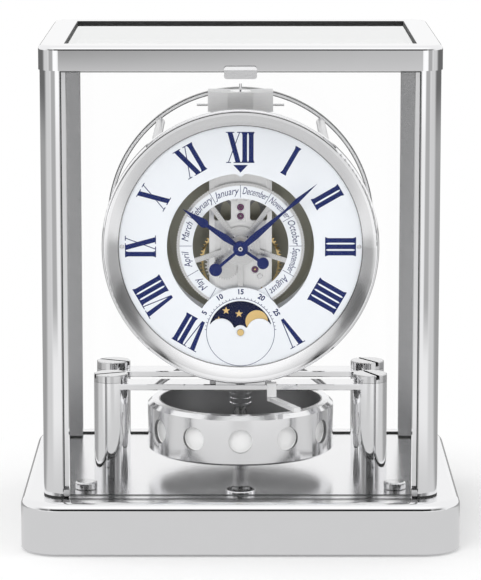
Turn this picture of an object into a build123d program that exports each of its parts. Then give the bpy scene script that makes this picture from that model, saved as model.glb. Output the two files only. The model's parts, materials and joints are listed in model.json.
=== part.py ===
from build123d import *
import os
from math import atan2, cos, hypot, pi, radians, sin, sqrt

# Moon phase mantel clock with a ring pendulum in a glazed case.
# Millimetres. The origin is on the table under the middle of the plinth; the dial faces -Y and +Z is up.

# Clearances
GAP = 0.3  # between pieces that move past each other, and round a pane
RUN = 0.05  # radial play of a shaft in its bore

# Plinth
PLINTH_W = 192.0
PLINTH_D = 156.0
PLINTH_H = 22.5
PLINTH_R = 17.0
PLINTH_EDGE = 3.5
PLINTH_WALL = 5.0
DECK_T = 5.0
FOOT_LIFT = 1.2
BOTTOM_T = 2.0

# Pillars, panes and roof frame
CASE_IN_X = 9.9  # from the plinth's sides to the pillars' outer faces
CASE_IN_Y = 10.9
PILLAR_W = 11.3
PILLAR_R = 9.5
PILLAR_H = 185.8
GASKET_T = 0.8
PANE_T = 3.0
PANE_SET = 0.3
REBATE_W = 2.5
REBATE_PLAY = 1.0
ROOF_OVER = 0.5
ROOF_H = 10.7
ROOF_R = 9.0
ROOF_EDGE = 2.0
ROOF_RIM = 11.0
ROOF_LEDGE = 3.0
ROOF_RECESS = 1.2
SEAL_T = 0.4
SEAL_DROP = 0.1

# Front door
DOOR_LIFT = 0.8
DOOR_DROP = 0.5
HINGE_RISE = 1.2
HINGE_SET = 1.1
HINGE_R = 0.6
HINGE_L = 1.8
SHOE_W = 2.6
SHOE_H = 2.8
TAB_W = 14.0
TAB_H = 5.2
TAB_T = 2.8
TAB_RISE = 2.1
TAB_GAP = 0.5
TAB_R = 1.2

# Levelling gear and spirit level
KNOB_IN_X = 18.1  # from the pillars' outer faces to the knobs' axes
KNOB_IN_Y = 19.1
KNOB_R = 4.8
KNOB_H = 3.0
KNOB_EDGE = 0.6
KNOB_STEM_R = 2.0
KNOB_STEM_L = 17.7
FOOT_R = 8.0
FOOT_STEM_R = 4.0
FOOT_STEM_H = 12.1
GUIDE_WALL = 2.6
REAR_FOOT_IN = 20.0
LEVEL_IN = 11.1
LEVEL_R = 6.6
LEVEL_BORE = 4.4
LEVEL_H = 1.6
LEVEL_EDGE = 0.5

# Support columns and beams
AXIS_Y = -4.0
COLUMN_X = 58.0
COLUMN_SPREAD = 15.2
COLUMN_R = 7.6
COLUMN_H = 42.7
SCREW_H = 3.4
SCREW_SLOT_W = 1.6
SCREW_SLOT_D = 1.8
SCREW_SEAM = 0.15
SCREW_STEM_R = 2.5
SCREW_STEM_L = 12.0
SCREW_EDGE = 0.4
BEAM_D = 13.0
BEAM_T = 2.8
BEAM_DROP = 0.5
BEAM_SEAT = 4.6
BEAM_EDGE = 0.4

# Suspension and pendulum
TUBE_R = 4.7
TUBE_BORE = 3.6
TUBE_LOW = 52.2
NUT_R = 4.9
NUT_H = 5.8
NUT_GROOVE = 0.5
WIRE_R = 0.3
HANGER_W = 29.0
HANGER_H = 12.8
HANGER_FACET_W = 11.5
HANGER_FACET_T = 3.0
HANGER_BACK = 3.3
HANGER_LAP = 4.0
ROD_DROP = 6.3
ROD_L = 39.0
ROD_R = 0.55
ROD_SLOT_H = 2.4
ROD_SLOT_W = 6.4
PIN_R = 0.6
PIN_H = 3.2
PENDULUM_R = 42.0
PENDULUM_BORE = 36.4
PENDULUM_H = 22.2
PENDULUM_LIFT = 9.4
PENDULUM_EDGE = 1.8
RECESS_COUNT = 12
RECESS_R = 5.35
RECESS_T = 2.2
SPIDER_RISE = 1.7
SPIDER_T = 3.0
SPIDER_ARM_W = 7.0
SPIDER_ARMS = 3
HUB_R = 7.0
HUB_WAIST_R = 4.2
HUB_TOP_R = 2.6
HUB_SHOULDER_H = 2.0
HUB_WAIST_H = 8.0
HUB_GAP = 0.8
POST_R = 1.9
POST_H = 9.0
POST_FLANGE_R = 3.6
POST_FLANGE_H = 1.0

# Locking lever
LOCK_X = 13.9
LOCK_W = 4.2
LOCK_D = 4.3
LOCK_RISE = 1.2
LOCK_H = 6.1
LOCK_PIN_R = 1.0
LOCK_PIN_L = 4.0
LEVER_HUB_R = 2.1
LEVER_W = 3.2
LEVER_T = 1.8
LEVER_L = 26.5
LEVER_ANGLE = -65.5

# Bezel, dial and rings
BEZEL_R = 61.2
BEZEL_W = 6.8  # from the bezel's outer edge to the dial's
BEZEL_LIFT = 1.7
BEZEL_DEPTH = 6.0
BEZEL_BEAD = 2.7
BEZEL_LIP = 0.7
BEZEL_CROWN = 0.2
DIAL_T = 1.0
DIAL_STANDOFF = 1.5
OPENING_R = 32.5
POINTER_W = 4.6
POINTER_H = 1.4
SUBDIAL_IN = 16.0  # from the dial's edge to the moon disc's axis
SUBDIAL_R = 20.1
MOON_WINDOW_R = 14.1
MOON_HUMP_R = 5.8
MOON_HUMP_X = 8.5
MOON_HUMP_Z = 0.3
MOON_BOSS_R = 3.1
MOON_SILL = 2.0
MOON_SHOULDER = 3.6
MOON_R = 14.9
MOON_T = 0.5
MOON_ARBOR_R = 1.5
MOON_ARBOR_PROUD = 0.5
FRONT_RING_W = 10.9
FRONT_RING_T = 2.0
REAR_RING_OVER = 0.8  # outside the bezel
REAR_RING_W = 2.0
REAR_RING_T = 4.0
REAR_RING_GAP = 2.0
REAR_LUG_W = 8.0
REAR_LUG_L = 4.0
SPACER_R = 2.0
SPACER_IN = 2.2  # from the bezel's outer edge to the posts' axes
SPACER_ANGLE = 39.0
COLLAR_BORE = 33.2
COLLAR_R = 35.6
FEET_X = 6.5
FEET_W = 9.0
FEET_D = 8.0

# Month wheel
MONTH_R = 28.0
MONTH_BORE = 21.2
MONTH_TOOTH = 0.5
MONTH_TEETH = 150
MONTH_T = 1.0
MONTH_HUB_R = 8.7
MONTH_SPOKES = 5
MONTH_SPOKE_W = 2.2
MONTH_PIPE_R = 3.2
MONTH_CAP_R = 4.6
MONTH_CAP_T = 0.6

# Hands
HOUR_ANGLE = 304.4
HOUR_TIP = 30.9
HOUR_BULB = 19.6
HOUR_BULB_R = 2.0
HOUR_TAIL = 12.0
HOUR_TAIL_R = 2.6
MINUTE_ANGLE = 49.4
MINUTE_TIP = 44.2
MINUTE_NECK = 25.5
MINUTE_SWELL = 33.0
MINUTE_TAIL = 14.4
MINUTE_TAIL_R = 2.85
HAND_HUB_R = 3.3
HAND_T = 0.6
HAND_STEP = 1.3
HAND_RISE = 3.6
HAND_STEM_W = 1.3
HAND_BELLY_W = 3.0

# Movement plates and arbors
BRIDGE_W = 27.7
BRIDGE_IN = 8.2  # from the bezel's outer edge to the bridge's ends
BRIDGE_T = 2.0
BRIDGE_EDGE = 0.4
BEVEL_W = 2.4
BEVEL_T = 0.8
ARCH_R = 10.6
ARCH_T = 0.6
WINDOW_IN = 4.2
WINDOW_OUT = 11.8
WINDOW_LOW = 11.0
WINDOW_HIGH = 20.2
WINDOW_R = 1.2
BACK_T = 2.0
BACK_LOW = 34.0
PLATE_PILLAR_R = 2.0
PLATE_PILLAR_X = 11.0
PLATE_PILLAR_Z = 30.0
JEWEL_R = 1.6
JEWEL_T = 0.9
PIVOT_R = 0.4
ARBOR_R = 0.7
CANNON_R = 1.5
HOUR_PIPE_R = 2.3
FIRST_LAYER = 1.5
LAYER_STEP = 1.7
LAST_LAYER = 1.2
WHEEL_T = 0.8
PINION_T = 1.2
BARREL_T = 2.6
BARREL_RIM_T = 0.9
BARREL_DRUM_R = 14.5
BARREL_STUD_R = 1.5
TUBE_CLEAR = 0.9
DRIVE_WHEEL_R = 5.6
DRIVE_WHEEL_T = 0.6
DRIVE_TEETH = 30
CROSSINGS = 4
CROSSING_W = 1.6
RIM_W = 1.8

# Train: tooth counts, and the bearing from the dial centre where an arbor isn't straight above or below it
BARREL_TEETH = 72
BARREL_DROP = 9.5
BARREL_MODULE = 0.5
INTER_PINION_TEETH = 18
INTER_TEETH = 52
CENTRE_PINION_TEETH = 8
CENTRE_TEETH = 56
CENTRE_MODULE = 0.394
THIRD_PINION_TEETH = 8
THIRD_ANGLE = -59.4
THIRD_TEETH = 48
THIRD_MODULE = 0.3125
ESCAPE_PINION_TEETH = 8
ESCAPE_ANGLE = -70.0
ESCAPE_TEETH = 15
ESCAPE_R = 4.5
CANNON_TEETH = 12
MINUTE_WHEEL_TEETH = 36
MINUTE_PINION_TEETH = 10
HOUR_WHEEL_TEETH = 40
MOTION_MODULE = 0.4917
MOTION_ANGLE = -124.0
WHEEL_ADDENDUM = 0.9
WHEEL_DEDENDUM = 1.1
WHEEL_ROOT_SHARE = 0.58
WHEEL_TIP_SHARE = 0.14
LEAF_ADDENDUM = 0.5
LEAF_DEDENDUM = 1.3
LEAF_ROOT_SHARE = 0.3
LEAF_TIP_SHARE = 0.2

# Bellows drum
DRUM_CLEAR = 3.3
DRUM_R = 43.0
DRUM_L = 44.0
DRUM_WALL = 2.0
DRUM_STEP_R = 34.4
DRUM_STEP_T = 2.0
DRUM_CONE = 2.4
CAPSULE_R = 36.0
CAPSULE_FOLD = 5.0
CAPSULE_FOLDS = 5
CAPSULE_L = 34.0
CAPSULE_NECK_R = 6.0
CRADLE_X = 9.0
CRADLE_W = 10.0
CRADLE_SET = 1.0

# Levels
DECK_Z = FOOT_LIFT + PLINTH_H
PILLAR_Z = DECK_Z + GASKET_T
ROOF_Z = PILLAR_Z + PILLAR_H
COLUMN_TOP = DECK_Z + COLUMN_H
BEAM_TOP = COLUMN_TOP - BEAM_DROP
BEAM_LOW = BEAM_TOP - BEAM_T
DIAL_Z = BEAM_TOP + BEZEL_LIFT + BEZEL_R
PENDULUM_Z = DECK_Z + PENDULUM_LIFT

# Sizes and places that follow the plinth and the case
CASE_W = PLINTH_W - 2 * CASE_IN_X
CASE_D = PLINTH_D - 2 * CASE_IN_Y
ROOF_W = CASE_W + 2 * ROOF_OVER
ROOF_D = CASE_D + 2 * ROOF_OVER
KNOB_X = CASE_W / 2 - KNOB_IN_X
KNOB_Y = KNOB_IN_Y - CASE_D / 2
LEVEL_Y = LEVEL_IN - CASE_D / 2
REAR_FOOT_Y = PLINTH_D / 2 - REAR_FOOT_IN

# Radii and the moon's place, which follow the bezel
DIAL_R = BEZEL_R - BEZEL_W
FRONT_RING_R = BEZEL_R - GAP
FRONT_RING_BORE = FRONT_RING_R - FRONT_RING_W
REAR_RING_R = BEZEL_R + REAR_RING_OVER
REAR_RING_BORE = REAR_RING_R - REAR_RING_W
SPACER_ORBIT = BEZEL_R - SPACER_IN
BRIDGE_REACH = BEZEL_R - BRIDGE_IN
SUBDIAL_DROP = DIAL_R - SUBDIAL_IN
MOON_Z = DIAL_Z - SUBDIAL_DROP

# Depths, from the suspension tube forward to the hands and back to the rear ring
BARREL_BACK = AXIS_Y - TUBE_R - TUBE_CLEAR
BARREL_FRONT = BARREL_BACK - BARREL_T
BACK_REAR = BARREL_FRONT - GAP
BACK_FRONT = BACK_REAR - BACK_T
PLATE_GAP = FIRST_LAYER + 4 * LAYER_STEP + LAST_LAYER
BRIDGE_BACK = BACK_FRONT - PLATE_GAP
RING_BACK = BRIDGE_BACK - BRIDGE_T
RING_FRONT = RING_BACK - FRONT_RING_T
DIAL_BACK = RING_FRONT - DIAL_STANDOFF
DIAL_FRONT = DIAL_BACK - DIAL_T
BEZEL_FRONT = RING_FRONT - BEZEL_DEPTH
MOON_FRONT = DIAL_BACK + GAP
MONTH_FRONT = MOON_FRONT + MOON_T + GAP
MONTH_BACK = MONTH_FRONT + MONTH_T
HOUR_BACK = DIAL_FRONT - HAND_RISE
MINUTE_BACK = HOUR_BACK - HAND_T - HAND_STEP
BEAM_FRONT_Y = AXIS_Y - COLUMN_SPREAD
BEAM_REAR_Y = AXIS_Y + COLUMN_SPREAD
DRUM_FRONT = AXIS_Y + TUBE_R + DRUM_CLEAR
DRUM_BACK = DRUM_FRONT + DRUM_L
REAR_RING_FRONT = DRUM_BACK + REAR_RING_GAP


def block(x0, x1, y0, y1, z0, z1):
    """Box between two corners."""
    place = Pos((x0 + x1) / 2, (y0 + y1) / 2, (z0 + z1) / 2)
    return place * Box(x1 - x0, y1 - y0, z1 - z0)


def upright(radius, z0, z1, x=0, y=0):
    """Cylinder standing along Z."""
    return Pos(x, y, (z0 + z1) / 2) * Cylinder(radius, z1 - z0)


def facing_rod(radius, y0, y1, x=0, z=0):
    """Cylinder along Y, from its front end to its back end."""
    return Pos(x, (y0 + y1) / 2, z) * Rot(90, 0, 0) * Cylinder(radius, y1 - y0)


def cross_rod(radius, x0, x1, y, z):
    """Cylinder along X."""
    return Pos((x0 + x1) / 2, y, z) * Rot(0, 90, 0) * Cylinder(radius, x1 - x0)


def facing(sketch, y_front, y_back, x=0, z=0):
    """Plate cut to an outline that is drawn as it is seen from the front."""
    return Pos(x, y_back, z) * Rot(90, 0, 0) * extrude(sketch, amount=y_back - y_front)


def outline(points):
    """Flat face with straight sides."""
    return make_face(Polyline(*points, close=True))


def turned(points, x=0, y=0):
    """Solid turned about a vertical axis, from its half section as (radius, z)."""
    section = make_face(Polyline(*[(r, 0, z) for r, z in points], close=True))
    return Pos(x, y, 0) * revolve(section, Axis.Z)


def turned_facing(points, x=0, z=0):
    """Solid turned about an axis along Y, from its half section as (radius, y)."""
    section = make_face(Polyline(*[(r, 0, -y) for r, y in points], close=True))
    return Pos(x, 0, z) * Rot(90, 0, 0) * revolve(section, Axis.Z)


def both_sides(part):
    """A part and its mirror image across the middle of the clock."""
    return Compound([*part.solids(), *mirror(part, about=Plane.YZ).solids()])


def save(part, name):
    """Write one piece, or a group of like pieces, as its own file."""
    solids = part.solids()
    shape = solids[0] if len(solids) == 1 else Compound(list(solids))
    export_step(shape, f"parts/{name}.step")


# Plinth

def plinth():
    shell = extrude(RectangleRounded(PLINTH_W, PLINTH_D, PLINTH_R), amount=PLINTH_H)
    shell = fillet(shell.edges().group_by(Axis.Z)[-1], PLINTH_EDGE)
    shell = Pos(0, 0, FOOT_LIFT) * shell - plinth_inside(0, PLINTH_H - DECK_T)
    for x in (-KNOB_X, KNOB_X):
        shell += upright(FOOT_STEM_R + RUN + GUIDE_WALL, FOOT_LIFT + BOTTOM_T, DECK_Z - DECK_T, x, KNOB_Y)
        shell -= upright(FOOT_STEM_R + RUN, FOOT_LIFT, DECK_Z - DECK_T, x, KNOB_Y)
        shell -= upright(KNOB_STEM_R + RUN, FOOT_LIFT, DECK_Z, x, KNOB_Y)
    return shell


def plinth_inside(play, height):
    """Room inside the plinth's walls, up from its lower edge."""
    shrink = 2 * (PLINTH_WALL + play)
    corner = PLINTH_R - PLINTH_WALL
    room = extrude(RectangleRounded(PLINTH_W - shrink, PLINTH_D - shrink, corner), amount=height)
    return Pos(0, 0, FOOT_LIFT) * room


def bottom_plate():
    plate = plinth_inside(RUN, BOTTOM_T)
    for x in (-KNOB_X, KNOB_X):
        plate -= upright(FOOT_STEM_R + GAP, FOOT_LIFT, FOOT_LIFT + BOTTOM_T, x, KNOB_Y)
    return plate


def levelling_foot(x):
    """Pad and stem that turn in the plinth's guide, with the bore that the knob's stem is fixed in."""
    pad_h = FOOT_LIFT - GAP
    foot = upright(FOOT_R, 0, pad_h, x, KNOB_Y) + upright(FOOT_STEM_R, pad_h, pad_h + FOOT_STEM_H, x, KNOB_Y)
    top = pad_h + FOOT_STEM_H
    return foot - upright(KNOB_STEM_R, knob_low() - KNOB_STEM_L, top, x, KNOB_Y)


def knob_low():
    return DECK_Z + GAP


def levelling_knob(x):
    low = knob_low()
    head = upright(KNOB_R, low, low + KNOB_H, x, KNOB_Y)
    head = chamfer(head.edges().group_by(Axis.Z)[-1], KNOB_EDGE)
    return head + upright(KNOB_STEM_R, low - KNOB_STEM_L, low, x, KNOB_Y)


def spirit_level():
    """Metal ring on the deck and the glass in it."""
    ring = upright(LEVEL_R, DECK_Z, DECK_Z + LEVEL_H, 0, LEVEL_Y)
    ring = fillet(ring.edges().group_by(Axis.Z)[-1], LEVEL_EDGE)
    ring -= upright(LEVEL_BORE, DECK_Z, DECK_Z + LEVEL_H, 0, LEVEL_Y)
    glass = upright(LEVEL_BORE, DECK_Z, DECK_Z + LEVEL_H - LEVEL_EDGE, 0, LEVEL_Y)
    return ring, glass


# Pillars, panes and roof

def pillar_section():
    """Square section with a round outer corner and a rebate for a pane on each outer face."""
    square = Rectangle(PILLAR_W, PILLAR_W)
    corner = square.vertices().group_by(Axis.X)[-1].sort_by(Axis.Y)[-1]
    square = fillet(corner, PILLAR_R)
    depth = PANE_SET + PANE_T + REBATE_PLAY
    inner = -PILLAR_W / 2 + REBATE_W / 2
    outer = PILLAR_W / 2 - depth / 2
    square -= Pos(inner, outer) * Rectangle(REBATE_W, depth)
    return square - Pos(outer, inner) * Rectangle(depth, REBATE_W)


def pillar_pair(z0, height, rear):
    """Two like uprights at the left and right corners."""
    x = (CASE_W - PILLAR_W) / 2
    y = (CASE_D - PILLAR_W) / 2
    one = Pos(x, y, z0) * extrude(pillar_section(), amount=height)
    if not rear:
        one = mirror(one, about=Plane.XZ)
    return both_sides(one)


def pane_span(width):
    """Width of a pane between two pillars."""
    return width - 2 * (PILLAR_W - REBATE_W + GAP)


def front_pillars():
    pair = pillar_pair(PILLAR_Z, PILLAR_H, False)
    edge = pane_span(CASE_W) / 2
    hole = cross_rod(HINGE_R + RUN, edge, edge + GAP + HINGE_L, door_axis_y(), door_axis_z())
    return Compound([solid - hole - mirror(hole, about=Plane.YZ) for solid in pair.solids()])


def gaskets():
    """Pads under the four pillars and thin strips under the fixed panes."""
    pieces = [pillar_pair(DECK_Z, GASKET_T, rear) for rear in (False, True)]
    pieces += [rear_pane(DECK_Z, DECK_Z + GAP), side_panes(DECK_Z, DECK_Z + GAP)]
    return Compound([solid for piece in pieces for solid in piece.solids()])


def roof_frame():
    frame = extrude(RectangleRounded(ROOF_W, ROOF_D, ROOF_R), amount=ROOF_H)
    frame = fillet(frame.edges().group_by(Axis.Z)[-1], ROOF_EDGE)
    wide = Rectangle(ROOF_W - 2 * ROOF_RIM, ROOF_D - 2 * ROOF_RIM)
    ledge = 2 * (ROOF_RIM + ROOF_LEDGE)
    narrow = Rectangle(ROOF_W - ledge, ROOF_D - ledge)
    frame -= Pos(0, 0, ROOF_H - ROOF_RECESS - PANE_T) * extrude(wide, amount=ROOF_RECESS + PANE_T)
    return Pos(0, 0, ROOF_Z) * (frame - extrude(narrow, amount=ROOF_H))


def roof_pane():
    trim = 2 * (ROOF_RIM + GAP)
    pane = extrude(Rectangle(ROOF_W - trim, ROOF_D - trim), amount=PANE_T)
    return Pos(0, 0, ROOF_Z + ROOF_H - ROOF_RECESS - PANE_T) * pane


def roof_seal():
    """Dark strip round the recess over the roof's pane."""
    wide = Rectangle(ROOF_W - 2 * ROOF_RIM, ROOF_D - 2 * ROOF_RIM)
    trim = 2 * (ROOF_RIM + SEAL_T)
    strip = extrude(wide - Rectangle(ROOF_W - trim, ROOF_D - trim), amount=ROOF_RECESS - SEAL_DROP)
    return Pos(0, 0, ROOF_Z + ROOF_H - ROOF_RECESS) * strip


def rear_pane(z0, z1):
    half = pane_span(CASE_W) / 2
    y1 = CASE_D / 2 - PANE_SET
    return block(-half, half, y1 - PANE_T, y1, z0, z1)


def side_panes(z0, z1):
    half = pane_span(CASE_D) / 2
    x1 = CASE_W / 2 - PANE_SET
    return both_sides(block(x1 - PANE_T, x1, -half, half, z0, z1))


# Front door: pane, hinge shoes and pull tab

def door_front_y():
    return -CASE_D / 2 + PANE_SET


def door_axis_y():
    return door_front_y() + HINGE_SET


def door_axis_z():
    return DECK_Z + DOOR_LIFT + HINGE_RISE


def door_corner(half):
    """Room at the pane's lower right corner that the hinge shoe fills."""
    y0 = door_front_y()
    low = DECK_Z + DOOR_LIFT
    return block(half - SHOE_W, half, y0, y0 + PANE_T, low, low + SHOE_H)


def door_pane():
    half = pane_span(CASE_W) / 2
    y0 = door_front_y()
    pane = block(-half, half, y0, y0 + PANE_T, DECK_Z + DOOR_LIFT, ROOF_Z - DOOR_DROP)
    corner = door_corner(half)
    return pane - corner - mirror(corner, about=Plane.YZ)


def door_shoes():
    half = pane_span(CASE_W) / 2
    shoe = door_corner(half) + cross_rod(HINGE_R, half, half + HINGE_L, door_axis_y(), door_axis_z())
    return both_sides(shoe)


def door_tab():
    """Pull tab that lies on the pane and stands up in front of the roof frame's face."""
    y_pane = door_front_y()
    y_plate = -ROOF_D / 2 - TAB_GAP
    y_front = y_plate - TAB_T
    top = ROOF_Z + TAB_RISE
    low = top - TAB_H
    root = ROOF_Z - DOOR_DROP - GAP
    bevel = TAB_T / 2
    points = [(y_pane, low), (y_front, low), (y_front, top - bevel), (y_front + bevel, top), (y_plate, top)]
    points += [(y_plate, root), (y_pane, root)]
    section = make_face(Polyline(*[(-TAB_W / 2, y, z) for y, z in points], close=True))
    rounded = facing(RectangleRounded(TAB_W, TAB_H, TAB_R), y_front, y_pane, 0, (low + top) / 2)
    return extrude(section, amount=TAB_W, dir=(1, 0, 0)) & rounded


# Columns and beams

def column_places():
    return [(x, y) for x in (-COLUMN_X, COLUMN_X) for y in (BEAM_FRONT_Y, BEAM_REAR_Y)]


def beam(y):
    end = COLUMN_X - COLUMN_R + BEAM_SEAT
    bar = block(-end, end, y - BEAM_D / 2, y + BEAM_D / 2, BEAM_LOW, BEAM_TOP)
    return chamfer(bar.edges().filter_by(Axis.X), BEAM_EDGE)


def columns():
    solids = []
    for x, y in column_places():
        column = upright(COLUMN_R, DECK_Z, COLUMN_TOP, x, y) - beam(y)
        column -= upright(SCREW_STEM_R, COLUMN_TOP - SCREW_STEM_L, COLUMN_TOP, x, y)
        solids += column.solids()
    return Compound(solids)


def column_screws():
    """Slotted heads as wide as the columns, each slot turned its own way."""
    solids = []
    for (x, y), turn in zip(column_places(), (24, -27, -64, -56)):
        head = upright(COLUMN_R, 0, SCREW_H)
        head = fillet(head.edges().group_by(Axis.Z)[-1], SCREW_EDGE)
        head = chamfer(head.edges().group_by(Axis.Z)[0], SCREW_SEAM)
        slot = block(-COLUMN_R, COLUMN_R, -SCREW_SLOT_W / 2, SCREW_SLOT_W / 2, SCREW_H - SCREW_SLOT_D, SCREW_H)
        screw = head - slot + beam_screw_stem()
        solids += (Pos(x, y, COLUMN_TOP) * Rot(0, 0, turn) * screw).solids()
    return Compound(solids)


def beam_screw_stem():
    """Stem that ends above the beam's seat in the column."""
    return upright(SCREW_STEM_R, -BEAM_DROP, 0)


def movement_feet():
    """Two feet on the front beam that carry the front ring from behind."""
    top = DIAL_Z - BRIDGE_REACH - GAP
    foot = block(FEET_X - FEET_W / 2, FEET_X + FEET_W / 2, RING_BACK, RING_BACK + FEET_D, BEAM_TOP, top)
    return both_sides(foot)


# Bezel, dial and rings

def dial_disc(radius, y_front, y_back):
    return facing(Circle(radius), y_front, y_back, 0, DIAL_Z)


def front_ring():
    return facing(Circle(FRONT_RING_R) - Circle(FRONT_RING_BORE), RING_FRONT, RING_BACK, 0, DIAL_Z)


def bezel():
    """Round bead outside, then a slightly crowned slope down to a lip that holds the dial."""
    seat = DIAL_R + RUN
    lip = DIAL_R - BEZEL_LIP
    lip_front = DIAL_FRONT - BEZEL_LIP
    bead = BEZEL_R - BEZEL_BEAD / 2
    bead_y = -(BEZEL_FRONT + BEZEL_BEAD / 2)
    turn = BEZEL_BEAD / 2 * sqrt(0.5)
    slope = ((bead + lip) / 2, 0, BEZEL_CROWN - (BEZEL_FRONT + lip_front) / 2)
    edges = [
        ThreePointArc((BEZEL_R, 0, bead_y), (bead + turn, 0, bead_y + turn), (bead, 0, -BEZEL_FRONT)),
        ThreePointArc((bead, 0, -BEZEL_FRONT), slope, (lip, 0, -lip_front)),
        Polyline(
            (lip, 0, -lip_front), (lip, 0, -DIAL_FRONT), (seat, 0, -DIAL_FRONT), (seat, 0, -RING_FRONT),
            (BEZEL_R, 0, -RING_FRONT), (BEZEL_R, 0, bead_y),
        ),
    ]
    section = make_face(edges)
    return Pos(0, 0, DIAL_Z) * Rot(90, 0, 0) * revolve(section, Axis.Z)


def moon_window():
    """Half-round window whose lower edge rises over two humps and the arbor's boss."""
    window = Circle(MOON_WINDOW_R)
    low = MOON_WINDOW_R + MOON_SILL
    window -= Pos(0, MOON_SILL - low / 2) * Rectangle(2 * MOON_WINDOW_R, low)
    wing = MOON_WINDOW_R - MOON_HUMP_X
    for side in (-1, 1):
        window -= Pos(side * MOON_HUMP_X, MOON_HUMP_Z) * Circle(MOON_HUMP_R)
        window -= Pos(side * (MOON_HUMP_X + wing / 2), MOON_SHOULDER / 2) * Rectangle(wing, MOON_SHOULDER)
    return window - Circle(MOON_BOSS_R)


def dial_plate():
    face = Circle(DIAL_R) - Circle(OPENING_R)
    face += (Pos(0, -SUBDIAL_DROP) * Circle(SUBDIAL_R)) & Circle((DIAL_R + OPENING_R) / 2)
    half = POINTER_W / 2
    face += outline([(-half, OPENING_R), (half, OPENING_R), (0, OPENING_R - POINTER_H)])
    face -= Pos(0, -SUBDIAL_DROP) * (moon_window() + Circle(MOON_ARBOR_R + RUN))
    return facing(face, DIAL_FRONT, DIAL_BACK, 0, DIAL_Z)


def spacer_places():
    dx = SPACER_ORBIT * sin(radians(SPACER_ANGLE))
    dz = SPACER_ORBIT * cos(radians(SPACER_ANGLE))
    return [(x, DIAL_Z + z) for x in (-dx, dx) for z in (-dz, dz)]


def spacers():
    rods = [facing_rod(SPACER_R, RING_BACK, REAR_RING_FRONT, x, z) for x, z in spacer_places()]
    return Compound([solid for rod in rods for solid in rod.solids()])


def rear_ring():
    """Ring behind the drum, with two lugs that reach forward onto the drum's wall."""
    y0 = REAR_RING_FRONT
    ring = facing(Circle(REAR_RING_R) - Circle(REAR_RING_BORE), y0, y0 + REAR_RING_T, 0, DIAL_Z)
    low = DIAL_Z - REAR_LUG_W / 2
    high = DIAL_Z + REAR_LUG_W / 2
    middle = (REAR_RING_R + REAR_RING_BORE) / 2
    for side in (-1, 1):
        x0, x1 = sorted((side * (DRUM_R - DRUM_WALL), side * middle))
        ring += block(x0, x1, DRUM_BACK - REAR_LUG_L, y0 + REAR_RING_T, low, high)
    return ring - facing_rod(DRUM_R, DRUM_FRONT, y0 + REAR_RING_T, 0, DIAL_Z)


def collar():
    """Ring on the front bridge that the dial rests against, open where the moon disc turns."""
    ring = Circle(COLLAR_R) - Circle(COLLAR_BORE) - Pos(0, -SUBDIAL_DROP) * Circle(MOON_R + GAP)
    return facing(ring, DIAL_BACK, RING_BACK, 0, DIAL_Z)


# Month wheel and moon disc

def month_wheel():
    step = pi / MONTH_TEETH
    radii = (MONTH_R, MONTH_R + MONTH_TOOTH)
    rim = outline([
        (radii[i % 2] * cos(i * step), radii[i % 2] * sin(i * step)) for i in range(2 * MONTH_TEETH)
    ])
    wheel = rim - Circle(MONTH_BORE)
    reach = (MONTH_BORE + MONTH_R) / 2
    for i in range(MONTH_SPOKES):
        turn = Rot(0, 0, -90 + i * 360 / MONTH_SPOKES)
        wheel += turn * Pos(reach / 2, 0) * Rectangle(reach, MONTH_SPOKE_W)
    wheel += Circle(MONTH_HUB_R)
    wheel -= Circle(MONTH_PIPE_R + RUN)
    return facing(wheel, MONTH_FRONT, MONTH_BACK, 0, DIAL_Z)


def moon_disc():
    disc = facing(Circle(MOON_R), MOON_FRONT, MOON_FRONT + MOON_T, 0, MOON_Z)
    return disc + facing_rod(MOON_ARBOR_R, DIAL_FRONT - MOON_ARBOR_PROUD, BRIDGE_BACK, 0, MOON_Z)


# Hands

def hand_tail(reach, radius):
    tail = Pos(0, -reach / 2) * Rectangle(HAND_STEM_W, reach)
    return tail + Pos(0, -reach) * Circle(radius)


def lens(low, high, width):
    """Slim shape that swells in its middle."""
    belly = low + (high - low) * 0.4
    ends = HAND_STEM_W / 2
    left = [(-ends, low), (-width / 2, belly), (-ends, high)]
    return outline(left + [(-x, y) for x, y in reversed(left)])


def hour_hand():
    hand = Circle(HAND_HUB_R) + hand_tail(HOUR_TAIL, HOUR_TAIL_R)
    hand += lens(0, HOUR_BULB, HAND_BELLY_W)
    hand += Pos(0, HOUR_BULB) * Circle(HOUR_BULB_R)
    hand += outline([(-HOUR_BULB_R, HOUR_BULB), (HOUR_BULB_R, HOUR_BULB), (0, HOUR_TIP)])
    hand -= Circle(HOUR_PIPE_R)
    return facing(Rot(0, 0, -HOUR_ANGLE) * hand, HOUR_BACK - HAND_T, HOUR_BACK, 0, DIAL_Z)


def minute_hand():
    hand = Circle(HAND_HUB_R) + hand_tail(MINUTE_TAIL, MINUTE_TAIL_R)
    neck = HAND_STEM_W * 0.35
    swell = HAND_STEM_W * 0.8
    hub = HAND_STEM_W * 0.8
    left = [(-hub, 0), (-HAND_BELLY_W / 2, MINUTE_NECK * 0.35), (-neck, MINUTE_NECK), (-swell, MINUTE_SWELL)]
    hand += outline(left + [(0, MINUTE_TIP)] + [(-x, y) for x, y in reversed(left)])
    hand -= Circle(CANNON_R)
    return facing(Rot(0, 0, -MINUTE_ANGLE) * hand, MINUTE_BACK - HAND_T, MINUTE_BACK, 0, DIAL_Z)


# Toothed wheels

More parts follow.
